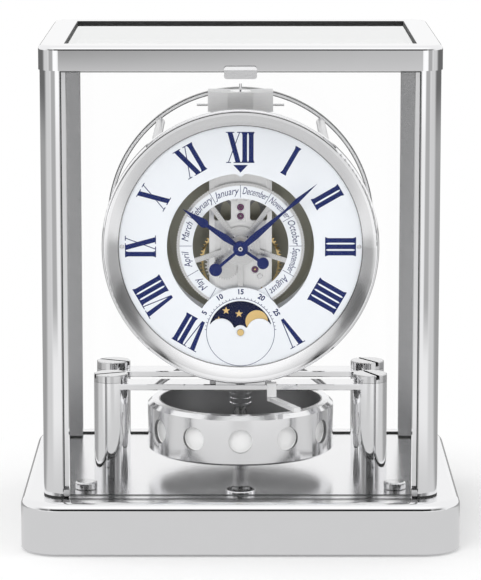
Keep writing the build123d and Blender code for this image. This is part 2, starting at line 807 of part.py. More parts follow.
def toothed(teeth, module, turn, leaf=False):
    """Outline of a wheel or, with leaf, of a pinion; one tooth points along turn, in radians."""
    addendum, dedendum = (LEAF_ADDENDUM, LEAF_DEDENDUM) if leaf else (WHEEL_ADDENDUM, WHEEL_DEDENDUM)
    root_share, tip_share = (LEAF_ROOT_SHARE, LEAF_TIP_SHARE) if leaf else (WHEEL_ROOT_SHARE, WHEEL_TIP_SHARE)
    root = teeth * module / 2 - dedendum * module
    tip = teeth * module / 2 + addendum * module
    half = pi / teeth
    points = []
    for i in range(teeth):
        middle = turn + 2 * half * i
        for radius, share in ((root, -root_share), (tip, -tip_share), (tip, tip_share), (root, root_share)):
            angle = middle + share * half
            points.append((radius * cos(angle), radius * sin(angle)))
    return outline(points)


def crossed(rim, root, hub):
    """A wheel outline with the windows between its crossings cut out."""
    inner = root - RIM_W
    windows = Circle(inner) - Circle(hub)
    for i in range(CROSSINGS):
        windows -= Rot(0, 0, 45 + i * 360 / CROSSINGS) * Pos(inner / 2, 0) * Rectangle(inner, CROSSING_W)
    return rim - windows


def wheel_outline(teeth, module, turn):
    """Crossed-out wheel with a hub wide enough for its arbor."""
    root = teeth * module / 2 - WHEEL_DEDENDUM * module
    return crossed(toothed(teeth, module, turn), root, HOUR_PIPE_R + RIM_W / 2)


def layer(number):
    """Middle of one of the wheel layers, counted from the front bridge."""
    return BRIDGE_BACK + FIRST_LAYER + (number - 1) * LAYER_STEP


def wheel_solid(sketch, number, place, thickness=WHEEL_T):
    middle = layer(number)
    return facing(sketch, middle - thickness / 2, middle + thickness / 2, place[0], DIAL_Z + place[1])


def bearing(start, end):
    return atan2(end[1] - start[1], end[0] - start[0])


def beyond(start, angle, distance):
    return start[0] + distance * cos(radians(angle)), start[1] + distance * sin(radians(angle))


def mesh(wheel_teeth, pinion_teeth, wheel_place, pinion_place):
    """Module and turns that set a tooth of the wheel into a gap of the pinion."""
    distance = hypot(pinion_place[0] - wheel_place[0], pinion_place[1] - wheel_place[1])
    turn = bearing(wheel_place, pinion_place)
    return 2 * distance / (wheel_teeth + pinion_teeth), turn, turn + pi + pi / pinion_teeth


CENTRE = (0.0, 0.0)
BARREL = (0.0, -BARREL_DROP)
INTER = (0.0, BARREL_MODULE * (BARREL_TEETH + INTER_PINION_TEETH) / 2 - BARREL_DROP)
THIRD = beyond(CENTRE, THIRD_ANGLE, CENTRE_MODULE * (CENTRE_TEETH + THIRD_PINION_TEETH) / 2)
ESCAPE = beyond(THIRD, ESCAPE_ANGLE, THIRD_MODULE * (THIRD_TEETH + ESCAPE_PINION_TEETH) / 2)
MOTION = beyond(CENTRE, MOTION_ANGLE, MOTION_MODULE * (CANNON_TEETH + MINUTE_WHEEL_TEETH) / 2)


def arbor(place, y_front, y_back, radius=ARBOR_R):
    return facing_rod(radius, y_front, y_back, place[0], DIAL_Z + place[1])


def pivoted_arbor(place, y_front, y_back):
    """Arbor between the plates, with a thin pivot in each plate."""
    body = arbor(place, BRIDGE_BACK + GAP, BACK_FRONT - GAP)
    return body + arbor(place, y_front, y_back, PIVOT_R)


def centre_wheel():
    """Arbor with the centre wheel and the pinion that the intermediate wheel drives."""
    module, wheel_turn, _ = mesh(CENTRE_TEETH, THIRD_PINION_TEETH, CENTRE, THIRD)
    wheel = wheel_solid(wheel_outline(CENTRE_TEETH, module, wheel_turn), 3, CENTRE)
    module, _, pinion_turn = mesh(INTER_TEETH, CENTRE_PINION_TEETH, INTER, CENTRE)
    wheel += wheel_solid(toothed(CENTRE_PINION_TEETH, module, pinion_turn, True), 5, CENTRE, PINION_T)
    wheel += arbor(CENTRE, MINUTE_BACK - 2 * HAND_T, BACK_FRONT - GAP)
    return wheel + arbor(CENTRE, BACK_FRONT - GAP, BACK_REAR, PIVOT_R)


def cannon_pinion():
    """Pipe that carries the minute hand, with the pinion that drives the motion work."""
    module, _, turn = mesh(MINUTE_WHEEL_TEETH, CANNON_TEETH, MOTION, CENTRE)
    pinion = wheel_solid(toothed(CANNON_TEETH, module, turn, True), 2, CENTRE, PINION_T)
    pinion += arbor(CENTRE, MINUTE_BACK - HAND_T, layer(2) + PINION_T / 2, CANNON_R)
    return pinion - arbor(CENTRE, MINUTE_BACK - 2 * HAND_T, layer(3), ARBOR_R)


def hour_wheel():
    """Wheel and pipe that carry the hour hand."""
    module, turn, _ = mesh(HOUR_WHEEL_TEETH, MINUTE_PINION_TEETH, CENTRE, MOTION)
    wheel = wheel_solid(wheel_outline(HOUR_WHEEL_TEETH, module, turn), 1, CENTRE)
    wheel += arbor(CENTRE, HOUR_BACK - HAND_T, layer(1) + WHEEL_T / 2, HOUR_PIPE_R)
    return wheel - arbor(CENTRE, HOUR_BACK - HAND_T, layer(2), CANNON_R + RUN)


def minute_wheel():
    """Wheel and pinion of the motion work, with the small wheel seen in front of the bridge."""
    module, turn, _ = mesh(MINUTE_WHEEL_TEETH, CANNON_TEETH, MOTION, CENTRE)
    wheel = wheel_solid(wheel_outline(MINUTE_WHEEL_TEETH, module, turn), 2, MOTION)
    module, _, turn = mesh(HOUR_WHEEL_TEETH, MINUTE_PINION_TEETH, CENTRE, MOTION)
    wheel += wheel_solid(toothed(MINUTE_PINION_TEETH, module, turn, True), 1, MOTION, PINION_T)
    front = MONTH_BACK + GAP
    fine = toothed(DRIVE_TEETH, 2 * DRIVE_WHEEL_R / (DRIVE_TEETH + 2 * WHEEL_ADDENDUM), 0)
    wheel += facing(fine, front, front + DRIVE_WHEEL_T, MOTION[0], DIAL_Z + MOTION[1])
    return wheel + arbor(MOTION, front, layer(2) + WHEEL_T / 2)


def intermediate_wheel():
    """Wheel that drives the centre pinion, with its own pinion behind the back plate."""
    module, turn, _ = mesh(INTER_TEETH, CENTRE_PINION_TEETH, INTER, CENTRE)
    wheel = wheel_solid(wheel_outline(INTER_TEETH, module, turn), 5, INTER)
    module, _, turn = mesh(BARREL_TEETH, INTER_PINION_TEETH, BARREL, INTER)
    leaf = toothed(INTER_PINION_TEETH, module, turn, True)
    wheel += facing(leaf, BARREL_FRONT, BARREL_FRONT + PINION_T, INTER[0], DIAL_Z + INTER[1])
    wheel += arbor(INTER, BRIDGE_BACK + GAP, BARREL_FRONT + PINION_T)
    return wheel + arbor(INTER, RING_BACK, BRIDGE_BACK + GAP, PIVOT_R)


def barrel_wheel():
    """Spring barrel with a toothed rim, turning on the back plate's stud."""
    module, turn, _ = mesh(BARREL_TEETH, INTER_PINION_TEETH, BARREL, INTER)
    rim = toothed(BARREL_TEETH, module, turn)
    barrel = facing(rim, BARREL_FRONT, BARREL_FRONT + BARREL_RIM_T, 0, DIAL_Z + BARREL[1])
    barrel += arbor(BARREL, BARREL_FRONT, BARREL_BACK, BARREL_DRUM_R)
    return barrel - arbor(BARREL, BARREL_FRONT, BARREL_BACK, BARREL_STUD_R + RUN)


def third_wheel():
    module, _, turn = mesh(CENTRE_TEETH, THIRD_PINION_TEETH, CENTRE, THIRD)
    wheel = wheel_solid(toothed(THIRD_PINION_TEETH, module, turn, True), 3, THIRD, PINION_T)
    module, turn, _ = mesh(THIRD_TEETH, ESCAPE_PINION_TEETH, THIRD, ESCAPE)
    wheel += wheel_solid(wheel_outline(THIRD_TEETH, module, turn), 4, THIRD)
    return wheel + pivoted_arbor(THIRD, RING_BACK, BACK_REAR)


def escape_wheel():
    """Wheel with hooked teeth on the fastest arbor."""
    module, _, turn = mesh(THIRD_TEETH, ESCAPE_PINION_TEETH, THIRD, ESCAPE)
    wheel = wheel_solid(toothed(ESCAPE_PINION_TEETH, module, turn, True), 4, ESCAPE, PINION_T)
    step = 2 * pi / ESCAPE_TEETH
    points = []
    for i in range(ESCAPE_TEETH):
        for radius, part in ((ESCAPE_R - RIM_W / 2, 0.0), (ESCAPE_R, 0.7), (ESCAPE_R, 0.85)):
            angle = (i + part) * step
            points.append((radius * cos(angle), radius * sin(angle)))
    wheel += wheel_solid(outline(points), 5, ESCAPE)
    return wheel + pivoted_arbor(ESCAPE, RING_BACK, BACK_REAR)


# Movement plates

def jewel_places():
    """Pivots of the intermediate and third arbors, and an end jewel above them."""
    return [INTER, (0.0, INTER[1] + 2.5 * JEWEL_R), THIRD]


def bridge_holes():
    """Two windows beside the upper jewels and the bores for jewels, pivots and arbors."""
    middle = (WINDOW_IN + WINDOW_OUT) / 2
    height = WINDOW_HIGH - WINDOW_LOW
    window = RectangleRounded(WINDOW_OUT - WINDOW_IN, height, WINDOW_R)
    holes = Pos(-middle, WINDOW_LOW + height / 2) * window + Pos(middle, WINDOW_LOW + height / 2) * window
    for x, z in jewel_places():
        holes += Pos(x, z) * Circle(JEWEL_R)
    holes += Pos(*ESCAPE) * Circle(PIVOT_R + RUN)
    holes += Pos(*MOTION) * Circle(ARBOR_R + RUN)
    return holes + Pos(0, -SUBDIAL_DROP) * Circle(MOON_ARBOR_R + RUN)


def front_bridge():
    """Upright bar with bevelled front edges that carries the train and, on an arched boss, the month wheel."""
    half = BRIDGE_W / 2
    flat = half - BEVEL_W
    points = [(-flat, RING_BACK), (flat, RING_BACK), (half, RING_BACK + BEVEL_T), (half, BRIDGE_BACK)]
    plan = outline(points + [(-half, BRIDGE_BACK), (-half, RING_BACK + BEVEL_T)])
    bridge = Pos(0, 0, DIAL_Z - BRIDGE_REACH) * extrude(plan, amount=2 * BRIDGE_REACH)
    bridge -= facing(bridge_holes(), RING_BACK, BRIDGE_BACK, 0, DIAL_Z)
    arch = Circle(ARCH_R) - Pos(0, -ARCH_R / 2) * Rectangle(2 * ARCH_R, ARCH_R)
    bridge += facing(arch, RING_BACK - ARCH_T, RING_BACK, 0, DIAL_Z)
    bridge += arbor(CENTRE, MONTH_FRONT - GAP, RING_BACK, MONTH_PIPE_R)
    bridge += arbor(CENTRE, MONTH_FRONT - GAP - MONTH_CAP_T, MONTH_FRONT - GAP, MONTH_CAP_R)
    return bridge - arbor(CENTRE, MONTH_FRONT - GAP - MONTH_CAP_T, BRIDGE_BACK, HOUR_PIPE_R + RUN)


def jewels():
    solids = []
    for place in jewel_places():
        jewel = arbor(place, BRIDGE_BACK - JEWEL_T - BRIDGE_EDGE, BRIDGE_BACK - BRIDGE_EDGE, JEWEL_R)
        solids += (jewel - arbor(place, RING_BACK, BRIDGE_BACK, PIVOT_R + RUN)).solids()
    return Compound(solids)


def back_plate():
    """Rear plate with the barrel's stud; its upper end carries the hanger."""
    high = hanger_low() + HANGER_LAP - DIAL_Z
    bar = Pos(0, (high - BACK_LOW) / 2) * Rectangle(BRIDGE_W, high + BACK_LOW)
    bar -= Circle(PIVOT_R + RUN) + Pos(*THIRD) * Circle(PIVOT_R + RUN) + Pos(*ESCAPE) * Circle(PIVOT_R + RUN)
    bar -= Pos(*INTER) * Circle(ARBOR_R + RUN)
    return facing(bar, BACK_FRONT, BACK_REAR, 0, DIAL_Z) + arbor(BARREL, BACK_REAR, BARREL_BACK, BARREL_STUD_R)


def plate_pillars():
    solids = []
    for x in (-PLATE_PILLAR_X, PLATE_PILLAR_X):
        for z in (-PLATE_PILLAR_Z, PLATE_PILLAR_Z):
            solids += arbor((x, z), BRIDGE_BACK, BACK_FRONT, PLATE_PILLAR_R).solids()
    return Compound(solids)


# Bellows drum

def drum():
    """Round can with a recess in its front face, coned at its edge."""
    y0, y1 = DRUM_FRONT, DRUM_BACK
    wall = DRUM_R - DRUM_WALL
    step = y0 + DRUM_STEP_T
    points = [(0, step), (DRUM_STEP_R - DRUM_CONE, step), (DRUM_STEP_R, y0), (DRUM_R, y0), (DRUM_R, y1)]
    points += [(wall, y1), (wall, step + DRUM_WALL), (0, step + DRUM_WALL)]
    return turned_facing(points, 0, DIAL_Z)


def drum_cover():
    return dial_disc(DRUM_R - DRUM_WALL - RUN, DRUM_BACK - DRUM_WALL, DRUM_BACK)


def capsule():
    """Folded gas capsule between the drum's front wall and its cover."""
    back = DRUM_BACK - DRUM_WALL
    front = back - CAPSULE_L
    fold = CAPSULE_L / CAPSULE_FOLDS
    points = [(0, DRUM_FRONT + DRUM_STEP_T + DRUM_WALL), (CAPSULE_NECK_R, DRUM_FRONT + DRUM_STEP_T + DRUM_WALL)]
    points += [(CAPSULE_NECK_R, front)]
    for i in range(CAPSULE_FOLDS):
        points += [(CAPSULE_R - CAPSULE_FOLD, front + i * fold), (CAPSULE_R, front + (i + 0.5) * fold)]
    points += [(CAPSULE_R - CAPSULE_FOLD, back), (0, back)]
    return turned_facing(points, 0, DIAL_Z)


def drum_cradle():
    """Two saddles on the rear beam, hollowed to the drum's wall."""
    outer = CRADLE_X + CRADLE_W / 2
    top = DIAL_Z - sqrt(DRUM_R ** 2 - outer ** 2)
    y0 = max(BEAM_REAR_Y - BEAM_D / 2, DRUM_FRONT) + CRADLE_SET
    y1 = BEAM_REAR_Y + BEAM_D / 2 - CRADLE_SET
    saddle = block(CRADLE_X - CRADLE_W / 2, outer, y0, y1, BEAM_TOP, top)
    return both_sides(saddle - facing_rod(DRUM_R, DRUM_FRONT, DRUM_BACK, 0, DIAL_Z))


# Suspension and pendulum

def hanger_low():
    """Lower face of the hanger, just under the bezel's highest point."""
    return DIAL_Z + BEZEL_R - 2 * HANGER_LAP + GAP


def hanger_top():
    return hanger_low() + HANGER_H


def rod_slot():
    """Slot through the hanger and the tube that the regulator's rod swings in."""
    z = hanger_top() - ROD_DROP
    half = ROD_SLOT_W / 2
    return block(-HANGER_W, HANGER_W, AXIS_Y - half, AXIS_Y + half, z - ROD_SLOT_H / 2, z + ROD_SLOT_H / 2)


def hanger():
    """Block over the movement that the suspension hangs from, with three front facets."""
    front = BACK_REAR
    back = AXIS_Y + TUBE_R + HANGER_BACK
    half = HANGER_W / 2
    facet = HANGER_FACET_W / 2
    points = [(-facet, front), (facet, front), (half, front + HANGER_FACET_T), (half, back), (-half, back)]
    plan = outline(points + [(-half, front + HANGER_FACET_T)])
    body = Pos(0, 0, hanger_low()) * extrude(plan, amount=HANGER_H)
    body -= upright(TUBE_R, hanger_low(), hanger_top(), 0, AXIS_Y)
    return body - rod_slot()


def suspension_tube():
    """Tube that shields the wire, with a grooved nut at its lower end."""
    nut = NUT_R - NUT_GROOVE
    band = NUT_H / 5
    points = [(TUBE_BORE, TUBE_LOW), (NUT_R, TUBE_LOW)]
    for i in (1, 3):
        points += [(NUT_R, TUBE_LOW + i * band), (nut, TUBE_LOW + i * band)]
        points += [(nut, TUBE_LOW + (i + 0.5) * band), (NUT_R, TUBE_LOW + (i + 0.5) * band)]
    points += [(NUT_R, TUBE_LOW + NUT_H), (TUBE_R, TUBE_LOW + NUT_H), (TUBE_R, hanger_top())]
    return turned(points + [(TUBE_BORE, hanger_top())], 0, AXIS_Y) - rod_slot()


def regulator():
    """Hub in the top of the tube with a cross rod, a pin and a bore for the wire's end."""
    top = hanger_top()
    z = top - ROD_DROP
    hub = upright(TUBE_BORE - RUN, z - ROD_SLOT_H, top, 0, AXIS_Y)
    hub += upright(PIN_R, top, top + PIN_H, 0, AXIS_Y)
    hub += cross_rod(ROD_R, -ROD_L / 2, ROD_L / 2, AXIS_Y, z)
    return hub - upright(WIRE_R + RUN, z - ROD_SLOT_H, z, 0, AXIS_Y)


def pendulum_ring():
    """Heavy ring with round flat-bottomed recesses round its wall."""
    low, high = PENDULUM_Z, PENDULUM_Z + PENDULUM_H
    edge = PENDULUM_EDGE
    points = [(PENDULUM_BORE, low), (PENDULUM_R - edge / 2, low), (PENDULUM_R, low + edge / 2)]
    points += [(PENDULUM_R, high - edge), (PENDULUM_R - edge, high), (PENDULUM_BORE, high)]
    ring = turned(points)
    middle = (low + high) / 2
    for i in range(RECESS_COUNT):
        recess = cross_rod(RECESS_R, PENDULUM_R - RECESS_T, PENDULUM_R + RECESS_T, 0, middle)
        ring -= Rot(0, 0, 90 + i * 360 / RECESS_COUNT) * recess
    return Pos(0, AXIS_Y, 0) * ring


def hub_top():
    return TUBE_LOW - HUB_GAP


def pendulum_spider():
    """Three-armed carrier in the ring, with a waisted hub under the tube."""
    low = PENDULUM_Z + SPIDER_RISE
    arms = Circle(HUB_R)
    for i in range(SPIDER_ARMS):
        turn = Rot(0, 0, 90 + i * 360 / SPIDER_ARMS)
        arms += turn * Pos(PENDULUM_BORE / 2, 0) * Rectangle(PENDULUM_BORE, SPIDER_ARM_W)
    spider = Pos(0, 0, low) * extrude(arms, amount=SPIDER_T)
    reach = upright(PENDULUM_BORE + PENDULUM_R, low, low + SPIDER_T) - upright(PENDULUM_BORE, low, low + SPIDER_T)
    shoulder = low + SPIDER_T + HUB_SHOULDER_H
    points = [(0, low), (HUB_R, low), (HUB_R, low + SPIDER_T), (HUB_WAIST_R + 1, shoulder)]
    points += [(HUB_WAIST_R, shoulder + HUB_WAIST_H / 2), (HUB_TOP_R, hub_top()), (0, hub_top())]
    return Pos(0, AXIS_Y, 0) * (spider - reach + turned(points))


def torsion_wire():
    return upright(WIRE_R, hub_top(), hanger_top() - ROD_DROP - ROD_SLOT_H / 2, 0, AXIS_Y)


def lock_post():
    post = upright(POST_R, DECK_Z, DECK_Z + POST_H, 0, AXIS_Y)
    return post + upright(POST_FLANGE_R, DECK_Z, DECK_Z + POST_FLANGE_H, 0, AXIS_Y)


# Locking lever

def lock_low():
    return BEAM_TOP + LOCK_RISE - LOCK_H


def lock_y():
    """Middle of the bracket, which stands on the front beam's face."""
    return BEAM_FRONT_Y - BEAM_D / 2 - LOCK_D / 2


def lock_bracket():
    half = LOCK_W / 2
    y1 = BEAM_FRONT_Y - BEAM_D / 2
    body = block(LOCK_X - half, LOCK_X + half, y1 - LOCK_D, y1, lock_low(), BEAM_TOP + LOCK_RISE)
    return body - upright(LOCK_PIN_R + RUN, lock_low(), lock_low() + LOCK_PIN_L, LOCK_X, lock_y())


def lock_lever():
    """Flat arm that swings under its bracket."""
    high = lock_low() - GAP
    plan = Circle(LEVER_HUB_R) + Pos(LEVER_L / 2, 0) * Rectangle(LEVER_L, LEVER_W)
    arm = Pos(0, 0, high - LEVER_T) * extrude(Rot(0, 0, LEVER_ANGLE) * plan, amount=LEVER_T)
    return Pos(LOCK_X, lock_y(), 0) * (arm + upright(LOCK_PIN_R, high, lock_low() + LOCK_PIN_L - GAP))


os.makedirs("parts", exist_ok=True)
save(plinth(), "base_plinth")
save(bottom_plate(), "bottom_plate")
save(upright(FOOT_R, 0, FOOT_LIFT, 0, REAR_FOOT_Y), "rear_foot")
save(spirit_level()[0], "level_ring")
save(spirit_level()[1], "level_glass")
for side_name, side_x in (("left", -KNOB_X), ("right", KNOB_X)):
    save(levelling_knob(side_x), f"knob_{side_name}")
    save(levelling_foot(side_x), f"foot_{side_name}")
save(front_pillars(), "front_pillars")
save(pillar_pair(PILLAR_Z, PILLAR_H, True), "rear_pillars")
save(gaskets(), "floor_gaskets")
save(roof_frame(), "top_frame")
save(roof_pane(), "top_glass")
save(roof_seal(), "top_seal")
save(side_panes(DECK_Z + GAP, ROOF_Z - GAP), "side_glasses")
save(rear_pane(DECK_Z + GAP, ROOF_Z - GAP), "rear_glass")
save(door_pane(), "door_glass")
save(door_shoes(), "door_shoes")
save(door_tab(), "door_handle")
save(columns(), "support_columns")
save(column_screws(), "column_screws")
save(beam(BEAM_FRONT_Y), "front_beam")
save(beam(BEAM_REAR_Y), "rear_beam")
save(movement_feet(), "movement_feet")
save(front_ring(), "front_ring")
save(bezel(), "bezel")
save(dial_plate(), "dial_plate")
save(collar(), "movement_ring")
save(spacers(), "ring_posts")
save(rear_ring(), "rear_ring")
save(month_wheel(), "month_ring")
save(moon_disc(), "moon_disc")
save(hour_hand(), "hour_hand")
save(minute_hand(), "minute_hand")
save(centre_wheel(), "centre_wheel")
save(cannon_pinion(), "cannon_pinion")
save(hour_wheel(), "hour_wheel")
save(minute_wheel(), "minute_wheel")
save(intermediate_wheel(), "intermediate_wheel")
save(barrel_wheel(), "barrel_wheel")
save(third_wheel(), "third_wheel")
save(escape_wheel(), "escape_wheel")
save(front_bridge(), "front_bridge")
save(jewels(), "bridge_jewels")
save(back_plate(), "back_plate")
save(plate_pillars(), "movement_pillars")
save(drum(), "bellows_drum")
save(drum_cover(), "drum_cover")
save(capsule(), "bellows_capsule")
save(drum_cradle(), "drum_cradle")
save(hanger(), "suspension_bridge")
save(suspension_tube(), "suspension_tube")
save(regulator(), "regulator")
save(torsion_wire(), "torsion_wire")
save(pendulum_ring(), "pendulum_ring")
save(pendulum_spider(), "pendulum_spider")
save(lock_post(), "lock_post")
save(lock_bracket(), "lock_bracket")
save(lock_lever(), "lock_lever")
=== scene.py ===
import json
import math

import bmesh
import bpy
from bpy.props import FloatProperty, FloatVectorProperty, PointerProperty
from mathutils import Matrix, Vector


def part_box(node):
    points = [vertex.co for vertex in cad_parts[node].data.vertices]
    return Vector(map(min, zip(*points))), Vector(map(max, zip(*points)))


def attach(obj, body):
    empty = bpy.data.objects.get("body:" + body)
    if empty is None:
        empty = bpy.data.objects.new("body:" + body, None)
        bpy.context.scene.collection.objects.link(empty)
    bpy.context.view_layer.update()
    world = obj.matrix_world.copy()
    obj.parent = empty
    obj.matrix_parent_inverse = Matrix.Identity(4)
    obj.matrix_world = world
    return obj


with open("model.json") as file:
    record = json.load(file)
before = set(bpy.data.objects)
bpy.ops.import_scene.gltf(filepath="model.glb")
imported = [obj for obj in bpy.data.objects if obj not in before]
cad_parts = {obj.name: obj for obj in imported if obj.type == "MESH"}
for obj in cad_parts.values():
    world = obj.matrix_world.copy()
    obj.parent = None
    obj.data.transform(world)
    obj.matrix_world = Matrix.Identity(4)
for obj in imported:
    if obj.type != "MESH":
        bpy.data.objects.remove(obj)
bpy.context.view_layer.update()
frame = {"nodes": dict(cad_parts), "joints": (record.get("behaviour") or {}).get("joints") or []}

bl_info = {
    "name": "Moon phase desk clock",
    "version": (1, 0, 0),
    "blender": (4, 5, 0),
    "location": "3D View > Sidebar > Clock",
    "description": "Finishes, dial print and studio for a glazed clock with a ring pendulum",
    "category": "Object",
}

NODES = frame["nodes"]
PIVOTS = {joint["name"]: Vector(joint.get("pos_m", (0, 0, 0))) for joint in frame["joints"]}
MM = 0.001
MONTHS = (
    "January", "February", "March", "April", "May", "June",
    "July", "August", "September", "October", "November", "December",
)
NUMERALS = {
    1: "I", 2: "II", 3: "III", 4: "IIII", 5: "V",
    7: "VII", 8: "VIII", 9: "IX", 10: "X", 11: "XI", 12: "XII",
}
# Days of a moon, the one at the top of the age ring, and those with a number
MOON_DAYS = 29
TOP_DAY = 15
NUMBERED_DAYS = (5, 10, 15, 20, 25)
# Distance in millimetres from the moon's arbor, and degrees on from a moon, of each star
STARS = ((11.5, 90.3), (8.15, 61.4), (11.0, 118.0))
# Millimetres across and up from the middle of the dial, and degrees of the slot, of each bridge screw
BRIDGE_SCREWS = ((-2.5, 21.0, 20), (2.5, 21.0, -50), (8.6, -13.9, 70))
# Name, joint and millimetres above the joint of each metal ring round a jewel
JEWEL_RINGS = (
    ("lower", "intermediate_turn", 0.0), ("upper", "intermediate_turn", 4.0), ("third", "third_turn", 0.0),
)
# Node, axes across its face, what its coating takes off, rise, and the width in millimetres of the dark
# border of each pane, which is painted shade
PANES = (
    ("top_glass", "XY", 0.0, 1.4, 0.35),
    ("side_glasses", "YZ", 0.033, 5.0, 0.18),
    ("rear_glass", "XZ", 0.033, 5.0, 0.18),
    ("door_glass", "XZ", 0.033, 5.0, 0.18),
)
LATHE_PITCH = 9000.0
# Directions across an axis along Y, and across one along Z
ROUND_Y = (1.0, 0.0, 1.0)
ROUND_Z = (1.0, 1.0, 0.0)


def length(name, description, default):
    """A size that a user can change, given here in millimetres."""
    return FloatProperty(name=name, description=description, default=default * MM, unit="LENGTH", precision=5)


def angle(name, description, default):
    """A turn that a user can change, given here in degrees."""
    return FloatProperty(name=name, description=description, default=math.radians(default), subtype="ANGLE")


def share(name, description, default):
    """A plain number that a user can change."""
    return FloatProperty(name=name, description=description, default=default)


def power(name, description, default):
    """A lamp's power in watts that a user can change."""
    return FloatProperty(name=name, description=description, default=default, unit="POWER")


def colour(name, description, default):
    """A linear colour that a user can change."""
    return FloatVectorProperty(
        name=name, description=description, default=default, subtype="COLOR", size=3, min=0, max=1)


class ClockSizes(bpy.types.PropertyGroup):
    """Sizes of what is printed or screwed onto the clock."""
    print_depth: length("Print depth", "How far the print stands up from its face", 0.04)
    numeral_foot: length("Numeral foot", "Radius of the numerals' inner ends", 37.3)
    numeral_height: length("Numeral height", "Length of the numerals along the radius", 13.7)
    numeral_stem: length("Numeral stem", "Width of a thick stroke", 2.05)
    numeral_slant: share("Slanted stroke", "Width of a thick slanted stroke against an upright one", 1.08)
    numeral_hair: length("Numeral hairline", "Width of a thin stroke and of a serif", 0.38)
    numeral_pitch: length("Numeral pitch", "Distance between two upright strokes", 2.85)
    marker_width: length("Marker width", "Width of the triangle under the top numeral", 6.4)
    marker_gap: length("Marker gap", "Distance of the triangle from the numeral", 0.9)
    marker_height: length("Marker height", "Height of the triangle under the top numeral", 3.4)
    month_height: length("Month lettering", "Size of the month names", 4.5)
    month_radius: length("Month baseline", "Radius of the month names' baseline", 23.2)
    month_squeeze: share("Month squeeze", "Width of the month letters", 0.75)
    month_room: angle("Month room", "Widest stretch of the wheel that a name takes", 27)
    month_line: length("Month line", "Width of the lines between the months", 0.2)
    month_line_gap: length("Month line gap", "Distance of these lines from the rim's start", 0.4)
    month_line_long: length("Month line length", "Length of these lines", 5.6)
    month_rim: length("Month rim", "Radius where the month wheel's white rim starts", 21.2)
    month_edge: length("Month edge", "Radius where the month wheel's white rim ends", 26.9)
    moon_orbit: length("Moon orbit", "Distance of the painted moons from their arbor", 8.6)
    moon_radius: length("Moon radius", "Radius of a painted moon", 5.0)
    moon_turn: angle("Moon turn", "Where the shown moon stands, from the right", 33.4)
    moon_gap: length("Moon gap", "How far the moon disc lies behind the dial", 0.3)
    moon_cap: length("Moon cap", "Radius of the cap on the moon's arbor", 1.45)
    moon_cap_height: length("Moon cap height", "How far that cap stands up", 0.1)
    star_radius: length("Star radius", "Radius of a painted star", 1.8)
    age_radius: length("Age ring", "Radius of the moon age line", 15.1)
    age_line: length("Age line", "Width of the moon age line and its ticks", 0.22)
    age_step: angle("Age step", "Turn from one day to the next", 6.1)
    age_tick: length("Age tick", "Length of a day's tick", 0.8)
    age_squeeze: share("Age squeeze", "Width of the moon age numbers", 0.9)
    age_foot: length("Age baseline", "Radius of the moon age numbers' baseline", 17.2)
    age_height: length("Age numbers", "Size of the moon age numbers", 3.2)
    age_bold: length("Age boldness", "How far the age numbers' strokes are thickened", 0.1)
    screw_radius: length("Dial screw", "Radius of a dial screw's head", 1.0)
    screw_orbit: length("Dial screws' circle", "Distance of the dial screws from the middle", 52.3)
    hub_screw: length("Hub screw", "Radius of a screw on the month wheel's hub", 0.6)
    hub_orbit: length("Hub screws' circle", "Distance of these screws from the middle", 5.0)
    jewel_in: length("Jewel ring, inside", "Inner radius of a ring round a jewel", 1.6)
    jewel_out: length("Jewel ring, outside", "Outer radius of a ring round a jewel", 2.1)
    cap_bore: length("Hand cap bore", "Radius of the dark middle of the hands' cap", 0.45)
    cap_radius: length("Hand cap", "Radius of the cap on the hands", 1.0)
    cap_height: length("Hand cap height", "How far the hands' cap stands up", 0.7)
    column_radius: length("Column", "Radius of a column screw's head", 7.6)
    # The pendulum's dark inside is painted shade, and its recess floors carry a painted highlight
    pendulum_bore: length("Pendulum bore", "Radius of the pendulum's dark inside", 37.0)
    recess_floor: length("Recess floor", "Radius of the pendulum's recesses at their floors", 40.35)
    drum_recess: length("Drum recess", "Radius of the drum's darker middle", 36.0)
    # The bezel's dark lip is painted shade, and its bright bead is partly a painted highlight
    bezel_lip: length("Bezel lip", "Radius up to which the bezel's edge on the dial is dark", 54.05)
    bezel_bead: length("Bezel bead", "Radius where the bezel's bright bead starts", 58.7)
    # The rear ring's bright band is a painted highlight on a ring painted dark as shade
    rear_ring_in: length("Rear ring, inside", "Radius where the rear ring's bright band starts", 60.45)
    rear_ring_out: length("Rear ring, outside", "Radius where the rear ring's bright band ends", 61.5)
    bridge_screw: length("Bridge screw", "Radius of a bridge screw's head", 1.3)
    barrel_rim: length("Barrel rim", "Radius where the barrel's gold rim starts", 16.6)


class ClockColours(bpy.types.PropertyGroup):
    """Colours of the clock's finishes, and of the painted shade at the panes' edges and at the pillars' feet.
    """
    case_metal: colour("Case metal", "Polished plating of the case", (0.86, 0.86, 0.87))
    satin_metal: colour("Satin metal", "Grained plates of the movement", (0.80, 0.80, 0.80))
    navy: colour("Navy", "Print and hands", (0.012, 0.022, 0.12))
    lacquer: colour("Dial lacquer", "White of the dial", (0.86, 0.89, 0.93))
    night: colour("Night", "Sky of the moon disc", (0.006, 0.010, 0.045))
    gold: colour("Gold", "Painted moons and stars", (0.84, 0.60, 0.25))
    brass: colour("Brass", "Wheels of the train", (0.74, 0.55, 0.26))
    ruby: colour("Jewel", "Pivot jewels", (0.10, 0.012, 0.08))
    drum: colour("Drum", "Front of the bellows drum", (0.40, 0.39, 0.32))
    barrel: colour("Barrel", "Front of the spring barrel", (0.30, 0.29, 0.22))
    # Also the black of the painted shade at the pillars' feet
    rubber: colour("Rubber", "Gaskets and feet", (0.02, 0.02, 0.02))
    # Painted shade: the panes' dark edges stand for the shade in the gaps beside them
    pane_edge: colour("Pane edge", "Dark edges of the panes", (0.03, 0.035, 0.035))


